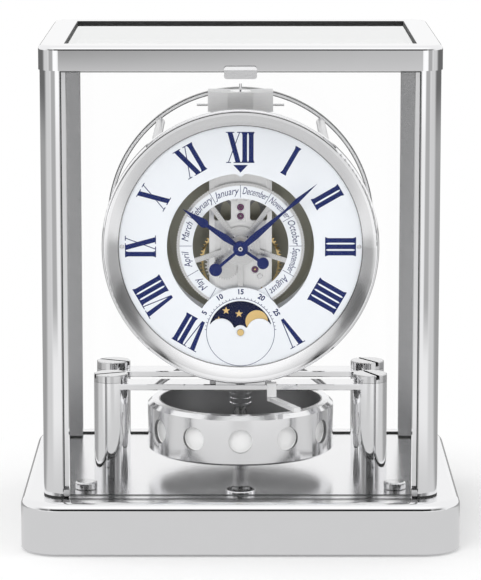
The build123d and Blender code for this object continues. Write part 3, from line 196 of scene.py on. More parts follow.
class ClockStudio(bpy.types.PropertyGroup):
    """Camera and light."""
    eye_distance: length("Eye distance", "Distance of the camera in front of the clock", 1400.0)
    eye_height: length("Eye height", "Height of the camera above the table", 345.1)
    aim_height: length("Aim height", "Height that the camera looks at", 104.2)
    lens: share("Lens", "Focal length in millimetres", 195.0)
    floor_radius: length("Floor radius", "Radius of the pale table top", 12000.0)
    key_power: power("Key", "Power of the large lamp in front", 8.0)
    fill_power: power("Fill", "Power of the lamps at the sides", 4.0)
    sky: share("Sky", "Plain light from all round", 0.85)


# Shader nodes

class Value:
    """A socket that holds a number; arithmetic on it adds Math nodes."""

    def __init__(self, tree, socket):
        self.tree = tree
        self.socket = socket

    def math(self, operation, *others):
        return self.tree.value("ShaderNodeMath", {"operation": operation}, dict(enumerate((self, *others))))

    def __add__(self, other):
        return self.math("ADD", other)

    def __mul__(self, other):
        return self.math("MULTIPLY", other)

    def __sub__(self, other):
        return self.math("SUBTRACT", other)

    def __rsub__(self, other):
        return self.tree.value("ShaderNodeMath", {"operation": "SUBTRACT"}, {0: other, 1: self})

    def __truediv__(self, other):
        return self.math("DIVIDE", other)

    def __pow__(self, other):
        return self.math("POWER", other)

    def __neg__(self):
        return self * -1

    def ramp(self, low, high, start=0.0, end=1.0):
        """Smooth change from start to end while the value goes from low to high."""
        return self.tree.value(
            "ShaderNodeMapRange", {"interpolation_type": "SMOOTHSTEP"},
            {"Value": self, "From Min": low, "From Max": high, "To Min": start, "To Max": end})


class Tree:
    """The node tree of a material, of the world or of a modifier."""

    def __init__(self, tree):
        self.tree = tree
        self.tree.nodes.clear()

    def node(self, kind, settings=None, inputs=None):
        """Add a node, set its settings, then give its sockets values or links."""
        made = self.tree.nodes.new(kind)
        for name, value in (settings or {}).items():
            setattr(made, name, value)
        for key, value in (inputs or {}).items():
            socket = made.inputs[key]
            if isinstance(value, Value):
                self.tree.links.new(value.socket, socket)
            else:
                socket.default_value = value
        return made

    def value(self, kind, settings=None, inputs=None, output=0):
        """Add a node and take one of its outputs."""
        return Value(self, self.node(kind, settings, inputs).outputs[output])

    def place(self):
        """Object coordinates, which are the clock's own frame."""
        return self.value("ShaderNodeTexCoord", output="Object")

    def axes(self, vector=None):
        """The three parts of a vector, or else of the object coordinates."""
        made = self.node("ShaderNodeSeparateXYZ", {}, {0: vector or self.place()})
        return {axis: Value(self, made.outputs[axis]) for axis in "XYZ"}

    def from_axis(self, centre, plane):
        """Distance from an axis through a centre; plane masks the two directions across it."""
        middle = self.value("ShaderNodeMapping", {}, {"Vector": self.place(), "Location": -centre})
        flat = self.value("ShaderNodeVectorMath", {"operation": "MULTIPLY"}, {0: middle, 1: plane})
        return self.value("ShaderNodeVectorMath", {"operation": "LENGTH"}, {0: flat}, "Value")

    def off_middle(self, axis, box):
        """Distance from the middle of a box along an axis, and half the box's length along it."""
        index = "XYZ".index(axis)
        low, high = box[0][index], box[1][index]
        return (self.axes()[axis] - (low + high) / 2).math("ABSOLUTE"), (high - low) / 2

    def rays(self):
        """Whether a ray comes from the eye, also through glass, and whether it was mirrored."""
        path = self.node("ShaderNodeLightPath").outputs
        eye, through, mirrored = (
            Value(self, path[f"Is {kind} Ray"]) for kind in ("Camera", "Transmission", "Glossy"))
        return eye.math("MAXIMUM", through), mirrored

    def stretched(self, scale):
        return self.value("ShaderNodeMapping", {}, {"Vector": self.place(), "Scale": scale})

    def noise(self, scale, detail, place=None):
        return self.value(
            "ShaderNodeTexNoise", {}, {"Vector": place or self.place(), "Scale": scale, "Detail": detail})

    def rings(self, radius):
        """Fine uneven rings, as a lathe leaves them."""
        return self.value(
            "ShaderNodeTexNoise", {"noise_dimensions": "1D"},
            {"W": radius, "Scale": LATHE_PITCH, "Detail": 2.0})

    def mix(self, factor, first, second):
        """Blend of two colours."""
        made = self.node("ShaderNodeMix", {"data_type": "RGBA"}, {"Factor": factor})
        for index, shade in ((6, first), (7, second)):
            if isinstance(shade, Value):
                self.tree.links.new(shade.socket, made.inputs[index])
            else:
                made.inputs[index].default_value = (*shade, 1.0)
        return Value(self, made.outputs[2])

    def bump(self, height, distance):
        return self.value("ShaderNodeBump", {}, {"Height": height, "Distance": distance}, "Normal")

    def surface(self, shader):
        self.tree.links.new(shader.socket, self.node("ShaderNodeOutputMaterial").inputs["Surface"])

    def principled(self, **inputs):
        """The main shader, with socket names written with underscores."""
        named = {key.replace("_", " "): value for key, value in inputs.items()}
        self.surface(self.value("ShaderNodeBsdfPrincipled", {}, named))


def tint(shade, factor):
    """A colour made lighter or darker."""
    return tuple(min(1.0, channel * factor) for channel in shade)


def new_material(name):
    """An empty material and its node tree."""
    material = bpy.data.materials.new(name)
    material.use_nodes = True
    return material, Tree(material.node_tree)


def clouded(tree, shade):
    """The faint clouds that polishing leaves, and a colour that varies with them."""
    cloud = tree.noise(90.0, 4.0)
    return cloud, tree.mix(cloud, tint(shade, 0.985), tint(shade, 1.01))


def polished_plating(name, shade, haze):
    """Mirror-bright plating with a faint polishing haze."""
    material, tree = new_material(name)
    cloud, body = clouded(tree, shade)
    roughness = cloud.ramp(0.2, 0.8, haze * 0.96, haze * 1.06)
    tree.principled(Base_Color=body, Metallic=1.0, Roughness=roughness)
    return material


def decked_plating(name, shade, top, haze=0.05, deck_haze=0.2, skin=0.03 * MM):
    """Bright plating with a satin deck at its top; skin is the depth that counts as the deck."""
    material, tree = new_material(name)
    deck = tree.axes()["Z"].math("GREATER_THAN", top - skin)
    cloud, body = clouded(tree, shade)
    roughness = (deck * (deck_haze - haze) + haze) * cloud.ramp(0.2, 0.8, 0.95, 1.05)
    tree.principled(Base_Color=body, Metallic=1.0, Roughness=roughness)
    return material


def grained_metal(name, shade, scale, haze=0.26, contrast=0.06, metallic=1.0):
    """Satin metal with a straight grain; scale stretches the grain along the clock's axes."""
    material, tree = new_material(name)
    grain = tree.noise(1.0, 4.0, tree.stretched(scale))
    body = tree.mix(grain.ramp(0.3, 0.7), tint(shade, 1 - contrast), tint(shade, 1 + contrast))
    tree.principled(
        Base_Color=body, Metallic=metallic, Roughness=grain.ramp(0.25, 0.75, haze * 0.8, haze * 1.25),
        Normal=tree.bump(grain, contrast * 40e-6))
    return material


def turned_metal(name, shade, centre, haze=0.2):
    """Metal with the fine rings that a lathe leaves round an axis along Y."""
    material, tree = new_material(name)
    rings = tree.rings(tree.from_axis(centre, ROUND_Y))
    body = tree.mix(rings.ramp(0.3, 0.7), tint(shade, 0.9), tint(shade, 1.06))
    tree.principled(
        Base_Color=body, Metallic=1.0, Roughness=rings.ramp(0.25, 0.75, haze * 0.75, haze * 1.3),
        Normal=tree.bump(rings, 2e-6))
    return material


def two_tone_metal(name, shade, rim_shade, rim, centre, haze=0.3):
    """Turned metal that is dull inside a radius and polished in another colour outside it."""
    material, tree = new_material(name)
    radius = tree.from_axis(centre, ROUND_Y)
    outside = radius.math("GREATER_THAN", rim)
    rings = tree.rings(radius)
    dull = tree.mix(rings.ramp(0.3, 0.7), tint(shade, 0.92), tint(shade, 1.06))
    tree.principled(
        Base_Color=tree.mix(outside, dull, rim_shade), Metallic=1.0, Roughness=(1 - outside * 0.7) * haze,
        Normal=tree.bump(rings, 1e-6))
    return material


def rimmed_metal(name, shade, rim_shade, rim, edge, centre, haze=0.3):
    """Turned metal with a flat, non-metal band between two radii: real lacquer on the month wheel, a painted
    highlight on the rear ring.
    """
    material, tree = new_material(name)
    radius = tree.from_axis(centre, ROUND_Y)
    outside = radius.math("GREATER_THAN", rim) * radius.math("LESS_THAN", edge)
    rings = tree.rings(radius)
    metal = tree.mix(rings.ramp(0.3, 0.7), tint(shade, 0.92), tint(shade, 1.04))
    tree.principled(
        Base_Color=tree.mix(outside, metal, rim_shade), Metallic=1 - outside,
        Roughness=rings.ramp(0.25, 0.75, haze * 0.8, haze * 1.25) + outside * 0.1,
        Normal=tree.bump(rings, 1e-6))
    return material


def lipped_plating(name, shade, lip, bead, centre):
    """Plating of a ring round an axis along Y, with painted shade on its lip, a satin slope painted a little
    darker, and a polished bead painted lighter as a highlight.
    """
    material, tree = new_material(name)
    radius = tree.from_axis(centre, ROUND_Y)
    # Painted shade: the lip next to the dial turns dark; painted highlight: the bead is lighter than the
    # slope as well as smoother
    line = radius.math("LESS_THAN", lip)
    bright = radius.math("GREATER_THAN", bead)
    cloud = tree.noise(90.0, 4.0)
    slope = tree.mix(cloud, tint(shade, 0.93), tint(shade, 0.97))
    body = tree.mix(line, tree.mix(bright, slope, tint(shade, 1.1)), tint(shade, 0.3))
    roughness = cloud.ramp(0.3, 0.7, 0.09, 0.12) - bright * 0.06
    tree.principled(Base_Color=body, Metallic=1.0, Roughness=roughness)
    return material


def hollow_plating(name, shade, inside, bore, recess, room, centre,
                   low=1.2 * MM, high=2.2 * MM, skin=0.12 * MM):
    """Satin plating on a ring round a vertical axis, with painted shade inside its bore and on its recesses'
    side walls, and a painted highlight on the recesses' floors.

    Recess is the radius of the recesses' floors at their edges and room is the ring's box. Low and high are
    the plain bands below and above the recesses, and skin is the depth that counts as the ring's outside.
    """
    material, tree = new_material(name)
    rise = tree.axes()["Z"]
    wall = rise.math("GREATER_THAN", room[0].z + low) * rise.math("LESS_THAN", room[1].z - high)
    radius = tree.from_axis(centre, ROUND_Z)
    # Painted shade: inside the bore the ring takes the darker colour given as inside
    bore_shade = radius.math("LESS_THAN", bore)
    outside = wall * (1 - bore_shade)
    floor = outside * radius.math("LESS_THAN", recess)
    side = outside * radius.math("LESS_THAN", room[1].x - skin) * (1 - floor)
    cloud, body = clouded(tree, shade)
    # Painted shade on the recesses' side walls, and a painted highlight, near white and barely metallic, on
    # their floors
    body = tree.mix(floor, tree.mix(side, body, tint(shade, 0.2)), (0.99, 0.99, 0.99))
    tree.principled(
        Base_Color=tree.mix(bore_shade, body, inside), Metallic=1 - floor * 0.85,
        Roughness=bore_shade * 0.2 + cloud.ramp(0.3, 0.7, 0.13, 0.17))
    return material


def slotted_plating(name, shade, room, radius, deep=0.25 * MM):
    """Bright plating of four screw heads in a rectangle, with painted shade in the slots, this deep below
    their top.
    """
    material, tree = new_material(name)
    flat = []
    for axis in "XY":
        away, half = tree.off_middle(axis, room)
        flat.append(away - (half - radius))
    away = (flat[0] * flat[0] + flat[1] * flat[1]).math("SQRT")
    below = tree.axes()["Z"].math("LESS_THAN", room[1].z - deep)
    # Painted shade: the slots below that depth turn near black and dull
    slot = away.math("LESS_THAN", radius * 0.985) * below
    cloud, body = clouded(tree, shade)
    tree.principled(
        Base_Color=tree.mix(slot, body, (0.02, 0.02, 0.02)), Metallic=1 - slot,
        Roughness=slot * 0.5 + cloud.ramp(0.3, 0.7, 0.02, 0.04))
    return material


def painted(name, shade, roughness, metallic=0.0, grain=0.06, coat=0.0, shine=0.5):
    """Lacquer or print with a slight unevenness."""
    material, tree = new_material(name)
    cloud = tree.noise(160.0, 4.0)
    fine = tree.noise(2600.0, 2.0)
    body = tree.mix(cloud, tint(shade, 1 - grain), tint(shade, 1 + grain))
    tree.principled(
        Base_Color=body, Metallic=metallic,
        Roughness=fine.ramp(0.3, 0.7, roughness * 0.85, roughness * 1.15), Coat_Weight=coat,
        Specular_IOR_Level=shine, Normal=tree.bump(fine, 1e-6))
    return material


def clear_pane(name, box, across, painted_edge_shade, least=0.0, rise=5.0, border=0.0):
    """Thin clear glass: a mirror that is there only as much as glass reflects, with painted shade along its
    edges.

    Box is the pane's room and across names the two axes that its edges lie on. Least is taken off the
    reflection, so that a coated pane is quite clear when it is looked through straight on. A smaller rise
    makes the pane bright sooner towards a glancing view.
    """
    material, tree = new_material(name)
    facing = tree.value("ShaderNodeLayerWeight", {}, {"Blend": 0.5}, "Facing")
    gloss = (facing ** rise * 0.96 + (0.04 - least)).math("MAXIMUM", 0.0)
    dust = tree.noise(60.0, 3.0)
    clear = tree.mix(dust, (0.93, 0.95, 0.94), (0.97, 0.98, 0.975))
    # Painted shade: within border of the pane's edges it turns dark and nearly opaque
    edge = None
    for axis in across:
        away, half = tree.off_middle(axis, box)
        past = away.math("GREATER_THAN", half - border)
        edge = past if edge is None else edge.math("MAXIMUM", past)
    if edge is None:
        tree.principled(Base_Color=clear, Metallic=1.0, Roughness=0.01, Alpha=gloss)
        return material
    tree.principled(
        Base_Color=tree.mix(edge, clear, painted_edge_shade), Metallic=1 - edge, Roughness=edge * 0.3 + 0.01,
        Alpha=gloss.math("MAXIMUM", edge * 0.85))
    return material


# Meshes

def new_object(name, data):
    """Object in the scene, at the origin."""
    made = bpy.data.objects.new(name, data)
    bpy.context.scene.collection.objects.link(made)
    return made


def applied(item):
    """Mesh of an object with its letters or modifiers worked out; the object is removed."""
    bpy.context.view_layer.update()
    mesh = bpy.data.meshes.new_from_object(item.evaluated_get(bpy.context.evaluated_depsgraph_get()))
    bpy.data.objects.remove(item)
    return mesh


def mesh_of(work, name):
    """Mesh of an edit mesh, which is freed."""
    mesh = bpy.data.meshes.new(name)
    work.to_mesh(mesh)
    work.free()
    return mesh


def solid_mesh(work, name):
    """Mesh of a closed edit mesh, with its faces turned outwards."""
    bmesh.ops.recalc_face_normals(work, faces=work.faces)
    return mesh_of(work, name)


def wall(work, near, far):
    """Faces between two loops of as many points."""
    count = len(near)
    for i in range(count):
        j = (i + 1) % count
        work.faces.new((near[i], near[j], far[j], far[i]))


def keep_place(mesh, name, material, body):
    """Turn a mesh, already in the clock's frame, into a piece that rides on a body."""
    piece = new_object(name, mesh)
    mesh.materials.clear()
    mesh.materials.append(material)
    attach(piece, body)
    return piece


def prisms(outlines, y, depth):
    """Mesh of flat plates on a face at y, towards the viewer; their outlines are (x, z) points."""
    work = bmesh.new()
    for points in outlines:
        rear = [work.verts.new((x, y, z)) for x, z in points]
        front = [work.verts.new((x, y - depth, z)) for x, z in points]
        work.faces.new(rear)
        work.faces.new(front)
        wall(work, rear, front)
    return solid_mesh(work, "plates")


def bar(width, high):
    """Outline of an upright bar that stands on the origin."""
    half = width / 2
    return [(-half, 0), (half, 0), (half, high), (-half, high)]


def circle(radius, centre=(0.0, 0.0), count=64):
    """Points round a centre."""
    steps = (2 * math.pi * i / count for i in range(count))
    return [(centre[0] + radius * math.cos(a), centre[1] + radius * math.sin(a)) for a in steps]


def hoop(inner, outer, y, depth, centre, count=96):
    """Mesh of a flat ring that lies on a face at y and stands up towards the viewer."""
    work = bmesh.new()
    loops = []
    for radius, at in ((inner, y), (outer, y), (outer, y - depth), (inner, y - depth)):
        loops.append([work.verts.new((x, at, z)) for x, z in circle(radius, (centre.x, centre.z), count)])
    for k in range(4):
        wall(work, loops[k], loops[(k + 1) % 4])
    return solid_mesh(work, "hoop")


def meet(a, b, c, d):
    """Point where the line through a and b meets the line through c and d."""
    ab = (b[0] - a[0], b[1] - a[1])
    cd = (d[0] - c[0], d[1] - c[1])
    share = ((c[0] - a[0]) * cd[1] - (c[1] - a[1]) * cd[0]) / (ab[0] * cd[1] - ab[1] * cd[0])
    return a[0] + share * ab[0], a[1] + share * ab[1]


def lettering(words, size, shear=0.0, bold=0.0):
    """Flat mesh of a word, centred on its width, in its own x and y."""
    curve = bpy.data.curves.new("word", "FONT")
    curve.body = words
    curve.size = size
    curve.shear = shear
    curve.offset = bold
    curve.align_x = "CENTER"
    curve.resolution_u = 3
    mesh = applied(new_object("word", curve))
    bpy.data.curves.remove(curve)
    return mesh


def raised(work, depth):
    """Give flat faces that look towards the viewer a thickness behind them."""
    bmesh.ops.remove_doubles(work, verts=work.verts, dist=1e-7)
    made = bmesh.ops.extrude_face_region(work, geom=work.faces[:])
    moved = [item for item in made["geom"] if isinstance(item, bmesh.types.BMVert)]
    bmesh.ops.translate(work, verts=moved, vec=(0, -depth, 0))
    bmesh.ops.recalc_face_normals(work, faces=work.faces)


def bent_words(entries, y, depth, centre):
    """Mesh of words bent round a centre.

    Each entry holds a word's mesh, the radius of its baseline, its clockwise angle and its squeeze.
    """
    work = bmesh.new()
    for mesh, radius, turn, squeeze in entries:
        start = len(work.verts)
        work.from_mesh(mesh)
        work.verts.ensure_lookup_table()
        for vert in work.verts[start:]:
            around = turn + vert.co.x * squeeze / radius
            reach = radius + vert.co.y
            vert.co = (centre.x + reach * math.sin(around), y, centre.z + reach * math.cos(around))
        bpy.data.meshes.remove(mesh)
    raised(work, depth)
    return mesh_of(work, "words")


def ring_of(name, original, count, radius, start, centre, material, sweep=2 * math.pi):
    """Copies of a small mesh round a centre, made by nodes, as one plain mesh; its +Z points outwards."""
    holder = bpy.data.objects.new(name + "_one", original)
    group = bpy.data.node_groups.new(name, "GeometryNodeTree")
    face = group.interface
    face.new_socket("Geometry", in_out="OUTPUT", socket_type="NodeSocketGeometry")
    sockets = {}
    for label, kind in (("Copies", "Int"), ("Radius", "Float"), ("Start", "Float"), ("Step", "Float"),
                        ("Centre", "Vector"), ("One", "Object"), ("Finish", "Material")):
        sockets[label] = face.new_socket(label, in_out="INPUT", socket_type="NodeSocket" + kind).identifier
    nodes = Tree(group)
    outputs = nodes.node("NodeGroupInput").outputs
    given = {label: Value(nodes, outputs[label]) for label in sockets}
    turn = nodes.value("GeometryNodeInputIndex") * given["Step"] + given["Start"]
    spin = nodes.value("ShaderNodeCombineXYZ", {}, {"Y": turn})
    offset = nodes.value("ShaderNodeCombineXYZ", {}, {"Z": given["Radius"]})
    spun = nodes.value(
        "ShaderNodeVectorRotate", {"rotation_type": "EULER_XYZ"}, {"Vector": offset, "Rotation": spin})
    placed = nodes.value("ShaderNodeVectorMath", {}, {0: spun, 1: given["Centre"]})
    points = nodes.value("GeometryNodePoints", {}, {"Count": given["Copies"], "Position": placed})
    one = nodes.value("GeometryNodeObjectInfo", {}, {"Object": given["One"]}, "Geometry")
    copies = nodes.value(
        "GeometryNodeInstanceOnPoints", {}, {"Points": points, "Instance": one, "Rotation": spin})
    real = nodes.value("GeometryNodeRealizeInstances", {}, {0: copies})
    finish = nodes.value("GeometryNodeSetMaterial", {}, {"Geometry": real, "Material": given["Finish"]})
    nodes.node("NodeGroupOutput", {}, {0: finish})
    carrier = new_object(name + "_carrier", bpy.data.meshes.new(name + "_carrier"))
    modifier = carrier.modifiers.new("Copies", "NODES")
    modifier.node_group = group
    values = {"Copies": count, "Radius": radius, "Start": start, "Step": sweep / count,
              "Centre": centre, "One": holder, "Finish": material}
    for label, value in values.items():
        modifier[sockets[label]] = value
    mesh = applied(carrier)
    bpy.data.objects.remove(holder)
    return mesh


def screw_mesh(radius, height, slot):
    """Slotted screw head that faces the viewer, with its seat at the origin; slot is the slot's turn."""
    work = bmesh.new()
    edge = radius * 0.18
    loops = []
    for reach, y in ((radius, 0.0), (radius, -height + edge), (radius - edge, -height)):
        loops.append([work.verts.new((x, y, z)) for x, z in circle(reach, count=24)])
    for near, far in zip(loops, loops[1:]):
        wall(work, near, far)
    work.faces.new(loops[0])
    work.faces.new(loops[-1])
    slot_width = radius * 0.26
    cut = bmesh.new()
    bmesh.ops.create_cube(cut, size=1.0)
    bmesh.ops.scale(cut, verts=cut.verts, vec=(radius * 3, height, slot_width))
    bmesh.ops.translate(cut, verts=cut.verts, vec=(0, -height, 0))
    bmesh.ops.rotate(cut, verts=cut.verts, matrix=Matrix.Rotation(slot, 3, "Y"))
    body = new_object("screw_head", solid_mesh(work, "screw_head"))
    tool = new_object("screw_slot", solid_mesh(cut, "screw_slot"))
    groove = body.modifiers.new("Slot", "BOOLEAN")
    groove.operation = "DIFFERENCE"
    groove.object = tool
    mesh = applied(body)
    bpy.data.objects.remove(tool)
    return mesh


# Numerals

def upright_stroke(at, sizes):
    """One upright stroke with its own stretch of serif at both ends."""
    half = sizes.numeral_stem / 2
    hair = sizes.numeral_hair
    flare = half * 1.35
    low, high = hair, sizes.numeral_height - hair
    waist = sizes.numeral_stem * 0.45
    side = [(flare, low), (half, low + waist), (half, high - waist), (flare, high)]
    stem = [(at + x, y) for x, y in side] + [(at - x, y) for x, y in reversed(side)]
    return [stem, *serifs(at, sizes.numeral_pitch, sizes)]


def serifs(at, width, sizes, top=True, bottom=True):
    """Flat serifs at the ends of a stroke."""
    hair, high = sizes.numeral_hair, sizes.numeral_height
    left, right = at - width / 2, at + width / 2
    made = []
    if bottom:
        made.append([(left, 0), (right, 0), (right, hair), (left, hair)])
    if top:
        made.append([(left, high - hair), (right, high - hair), (right, high), (left, high)])
    return made


def vee(at, sizes):
    """Thick stroke down from the left, hairline up to the right."""
    stem, hair = sizes.numeral_stem * sizes.numeral_slant, sizes.numeral_hair
    high = sizes.numeral_height - hair
    half = sizes.numeral_pitch * 0.95
    foot = stem * 0.4
    thick = [(at - half, high), (at + foot - stem * 0.62, 0), (at + foot, 0), (at - half + stem, high)]
    outer = ((at + foot, 0), (at + half, high))
    inner = ((at + foot - hair * 1.1, 0), (at + half - hair * 1.1, high))
    joint = meet(*inner, thick[2], thick[3])
    thin = [joint, outer[0], outer[1], inner[1]]
    wide = serifs(at - half + stem / 2, stem * 1.9, sizes, bottom=False)
    return [thick, thin, *wide, *serifs(at + half - hair / 2, stem * 1.05, sizes, bottom=False)]


def cross(at, sizes):
    """Thick stroke from the upper left to the lower right, crossed by a hairline."""
    stem, hair = sizes.numeral_stem * sizes.numeral_slant, sizes.numeral_hair
    low, high = hair, sizes.numeral_height - hair
    half = sizes.numeral_pitch
    left = ((at - half, high), (at + half - stem, low))
    right = ((at - half + stem, high), (at + half, low))
    reach = half - hair * 1.2
    under = ((at - reach - hair / 2, low), (at + reach - hair / 2, high))
    over = ((at - reach + hair / 2, low), (at + reach + hair / 2, high))
    thick = [left[0], left[1], right[1], right[0]]
    upper = [meet(*under, *right), meet(*over, *right), over[1], under[1]]
    lower = [under[0], over[0], meet(*over, *left), meet(*under, *left)]
    shapes = [thick, upper, lower]
    shapes += serifs(at - half + stem / 2, stem * 1.7, sizes, bottom=False)
    shapes += serifs(at + half - stem / 2, stem * 1.7, sizes, top=False)
    shapes += serifs(at + reach, stem * 0.95, sizes, bottom=False)
    return shapes + serifs(at - reach, stem * 0.95, sizes, top=False)


def numeral_shapes(letters, sizes):
    """Outlines of a numeral, centred across, standing on its inner end."""
    widths = {"I": sizes.numeral_pitch, "V": sizes.numeral_pitch * 2.15, "X": sizes.numeral_pitch * 2.3}
    strokes = {"I": upright_stroke, "V": vee, "X": cross}
    at = -sum(widths[letter] for letter in letters) / 2
    shapes = []
    for letter in letters:
        shapes += strokes[letter](at + widths[letter] / 2, sizes)
        at += widths[letter]
    return shapes


def on_dial(points, turn, foot, centre):
    """Points of a numeral, moved out along a clockwise angle."""
    moved = []
    for across, up in points:
        reach = foot + up
        x = reach * math.sin(turn) + across * math.cos(turn)
        z = reach * math.cos(turn) - across * math.sin(turn)
        moved.append((centre.x + x, centre.z + z))
    return moved


# Operators

def dress(material, *names):
    """Give CAD nodes a material."""
    for name in names:
        slots = NODES[name].data.materials
        slots.clear()
        slots.append(material)


class ClockOperator:
    """What the clock's operators share: each makes its pieces from the scene's settings."""
    bl_options = {"REGISTER", "UNDO"}

    def execute(self, context):
        scene = context.scene
        self.make(scene.clock_sizes, scene.clock_colours, scene.clock_studio)
        return {"FINISHED"}


class CLOCK_OT_case(ClockOperator, bpy.types.Operator):
    """Finish the plinth, the pillars, the roof frame and the metal inside the case"""
    bl_idname = "clock.case"
    bl_label = "Case metal"

    def make(self, sizes, colours, studio):
        shade = colours.case_metal
        dress(decked_plating("Plinth plating", shade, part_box("base_plinth")[1].z), "base_plinth")
        plating = polished_plating("Polished plating", shade, 0.04)
        dress(plating, "front_pillars", "top_frame")
        # Painted shade: the rear pillars are the case plating painted darker, as they show behind the glass
        dress(polished_plating("Rear pillar satin and painted shade", tint(shade, 0.78), 0.26), "rear_pillars")
        dress(polished_plating("Hinge steel", tint(shade, 0.9), 0.3), "door_shoes", "ring_posts")
        bright = polished_plating("Bright plating", shade, 0.03)
        dress(bright, "support_columns", "front_beam", "rear_beam", "suspension_tube", "front_ring",
              "level_ring", "movement_feet", "drum_cradle", "regulator", "torsion_wire", "lock_post")
        centre = PIVOTS["minute_turn"]
        dress(lipped_plating("Bezel", shade, sizes.bezel_lip, sizes.bezel_bead, centre), "bezel")
        # Painted shade and highlight: the rear ring's plating is painted dark, with a light painted highlight
        # band between rear_ring_in and rear_ring_out
        rear_ring_shade_and_highlight = rimmed_metal("Rear ring", tint(shade, 0.35), tint(shade, 1.06), sizes.rear_ring_in,
                                   sizes.rear_ring_out, centre)
        dress(rear_ring_shade_and_highlight, "rear_ring")
        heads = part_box("column_screws")
        # The column screws' slots get painted shade
        screws = slotted_plating("Column screws", tint(shade, 0.82), heads, sizes.column_radius)
        dress(screws, "column_screws")
        # The darker copy of the plating for the pendulum's bore is painted shade
        ring = hollow_plating("Pendulum", tint(shade, 1.04), tint(shade, 0.58), sizes.pendulum_bore,
                              sizes.recess_floor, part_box("pendulum_ring"), PIVOTS["pendulum_swing"])
        dress(ring, "pendulum_ring")
        frost = grained_metal("Frosted plating", tint(shade, 1.14), (200, 200, 2400), 0.4, 0.03, 0.55)
        dress(frost, "suspension_bridge", "lock_bracket", "lock_lever")
        tab = grained_metal("Tab satin", tint(shade, 0.98), (200, 2400, 2400), 0.3, 0.02, 0.85)
        dress(tab, "door_handle")
        dress(polished_plating("Knob satin", tint(shade, 0.85), 0.16), "knob_left", "knob_right")
        # Painted shade: the black on floor_gaskets stands for the shade in the gap at the pillars' feet; the
        # feet are real rubber
        rubber = painted("Rubber and gap shade", colours.rubber, 0.6)
        dress(rubber, "floor_gaskets", "top_seal", "foot_left", "foot_right", "rear_foot")
        dress(painted("Bottom lacquer", colours.rubber, 0.5), "bottom_plate")


class CLOCK_OT_panes(ClockOperator, bpy.types.Operator):
    """Make the panes and the spirit level's window clear, with painted shade along the panes' edges"""
    bl_idname = "clock.panes"
    bl_label = "Panes"

    def make(self, sizes, colours, studio):
        edge = colours.pane_edge
        for node, across, least, rise, border in PANES:
            dress(clear_pane("Pane of " + node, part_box(node), across, edge, least, rise, border * MM), node)
        dress(clear_pane("Level window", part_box("level_glass"), "", edge), "level_glass")


class CLOCK_OT_movement(ClockOperator, bpy.types.Operator):
    """Finish the plates, wheels, jewels and drum of the movement"""
    bl_idname = "clock.movement"
    bl_label = "Movement"

    def make(self, sizes, colours, studio):
        satin = colours.satin_metal
        bridge = grained_metal("Bridge frost", tint(satin, 1.22), (2600, 300, 60), 0.34, 0.03, 0.8)
        dress(bridge, "front_bridge")
        dull = grained_metal("Dull plate", colours.drum, (2600, 300, 60), 0.34, 0.03)
        dress(dull, "back_plate", "movement_pillars", "movement_ring")
        dress(grained_metal("Spider grain", tint(satin, 0.4), (900, 900, 300)), "pendulum_spider")
        rim = rimmed_metal("Month wheel", tint(satin, 1.1), colours.lacquer, sizes.month_rim,
                           sizes.month_edge, PIVOTS["month_turn"])
        dress(rim, "month_ring")
        brass = colours.brass
        axis = PIVOTS["barrel_turn"]
        dress(two_tone_metal("Barrel", colours.barrel, brass, sizes.barrel_rim, axis), "barrel_wheel")
        for node, joint in (("centre_wheel", "minute_turn"), ("hour_wheel", "hour_turn"),
                            ("third_wheel", "third_turn"), ("escape_wheel", "escape_turn")):
            dress(turned_metal("Brass of " + node, brass, PIVOTS[joint]), node)
        axis = PIVOTS["intermediate_turn"]
        dress(turned_metal("Steel of intermediate_wheel", tint(satin, 0.3), axis, 0.3), "intermediate_wheel")
        dress(turned_metal("Steel of minute_wheel", satin, PIVOTS["motion_turn"], 0.25), "minute_wheel")
        dress(painted("Jewel", colours.ruby, 0.08, coat=1.0), "bridge_jewels")
        centre = PIVOTS["minute_turn"]
        drum = two_tone_metal("Drum", colours.drum, satin, sizes.drum_recess, centre, 0.4)
        dress(drum, "bellows_drum", "drum_cover")
        dress(turned_metal("Capsule", brass, centre, 0.3), "bellows_capsule")


class CLOCK_OT_dial(ClockOperator, bpy.types.Operator):
    """Lacquer the dial and the moon disc, and blue the hands"""
    bl_idname = "clock.dial"
    bl_label = "Dial and hands"

    def make(self, sizes, colours, studio):
        dress(painted("Dial lacquer", colours.lacquer, 0.42, grain=0.015), "dial_plate")
        dress(painted("Night sky", colours.night, 0.4, grain=0.1, shine=0.12), "moon_disc")
        dress(painted("Blued hands", colours.navy, 0.3, metallic=0.1, coat=0.08, shine=0.15),
              "hour_hand", "minute_hand", "cannon_pinion")


class CLOCK_OT_numerals(ClockOperator, bpy.types.Operator):
    """Print the hour numerals and the triangle under the top one"""
    bl_idname = "clock.numerals"
    bl_label = "Numerals"

    def make(self, sizes, colours, studio):
        centre = PIVOTS["minute_turn"]
        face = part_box("dial_plate")[0].y
        ink = painted("Navy print", colours.navy, 0.35, grain=0.1, shine=0.12)
        for hour, letters in NUMERALS.items():
            turn = math.radians(30 * hour)
            shapes = numeral_shapes(letters, sizes)
            placed = [on_dial(points, turn, sizes.numeral_foot, centre) for points in shapes]
            mesh = prisms(placed, face, sizes.print_depth)
            keep_place(mesh, f"numeral_{hour:02d}", ink, "case")
        half, top = sizes.marker_width / 2, -sizes.marker_gap
        triangle = [(-half, top), (half, top), (0, top - sizes.marker_height)]
        mesh = prisms([on_dial(triangle, 0, sizes.numeral_foot, centre)], face, sizes.print_depth)
        keep_place(mesh, "top_marker", ink, "case")


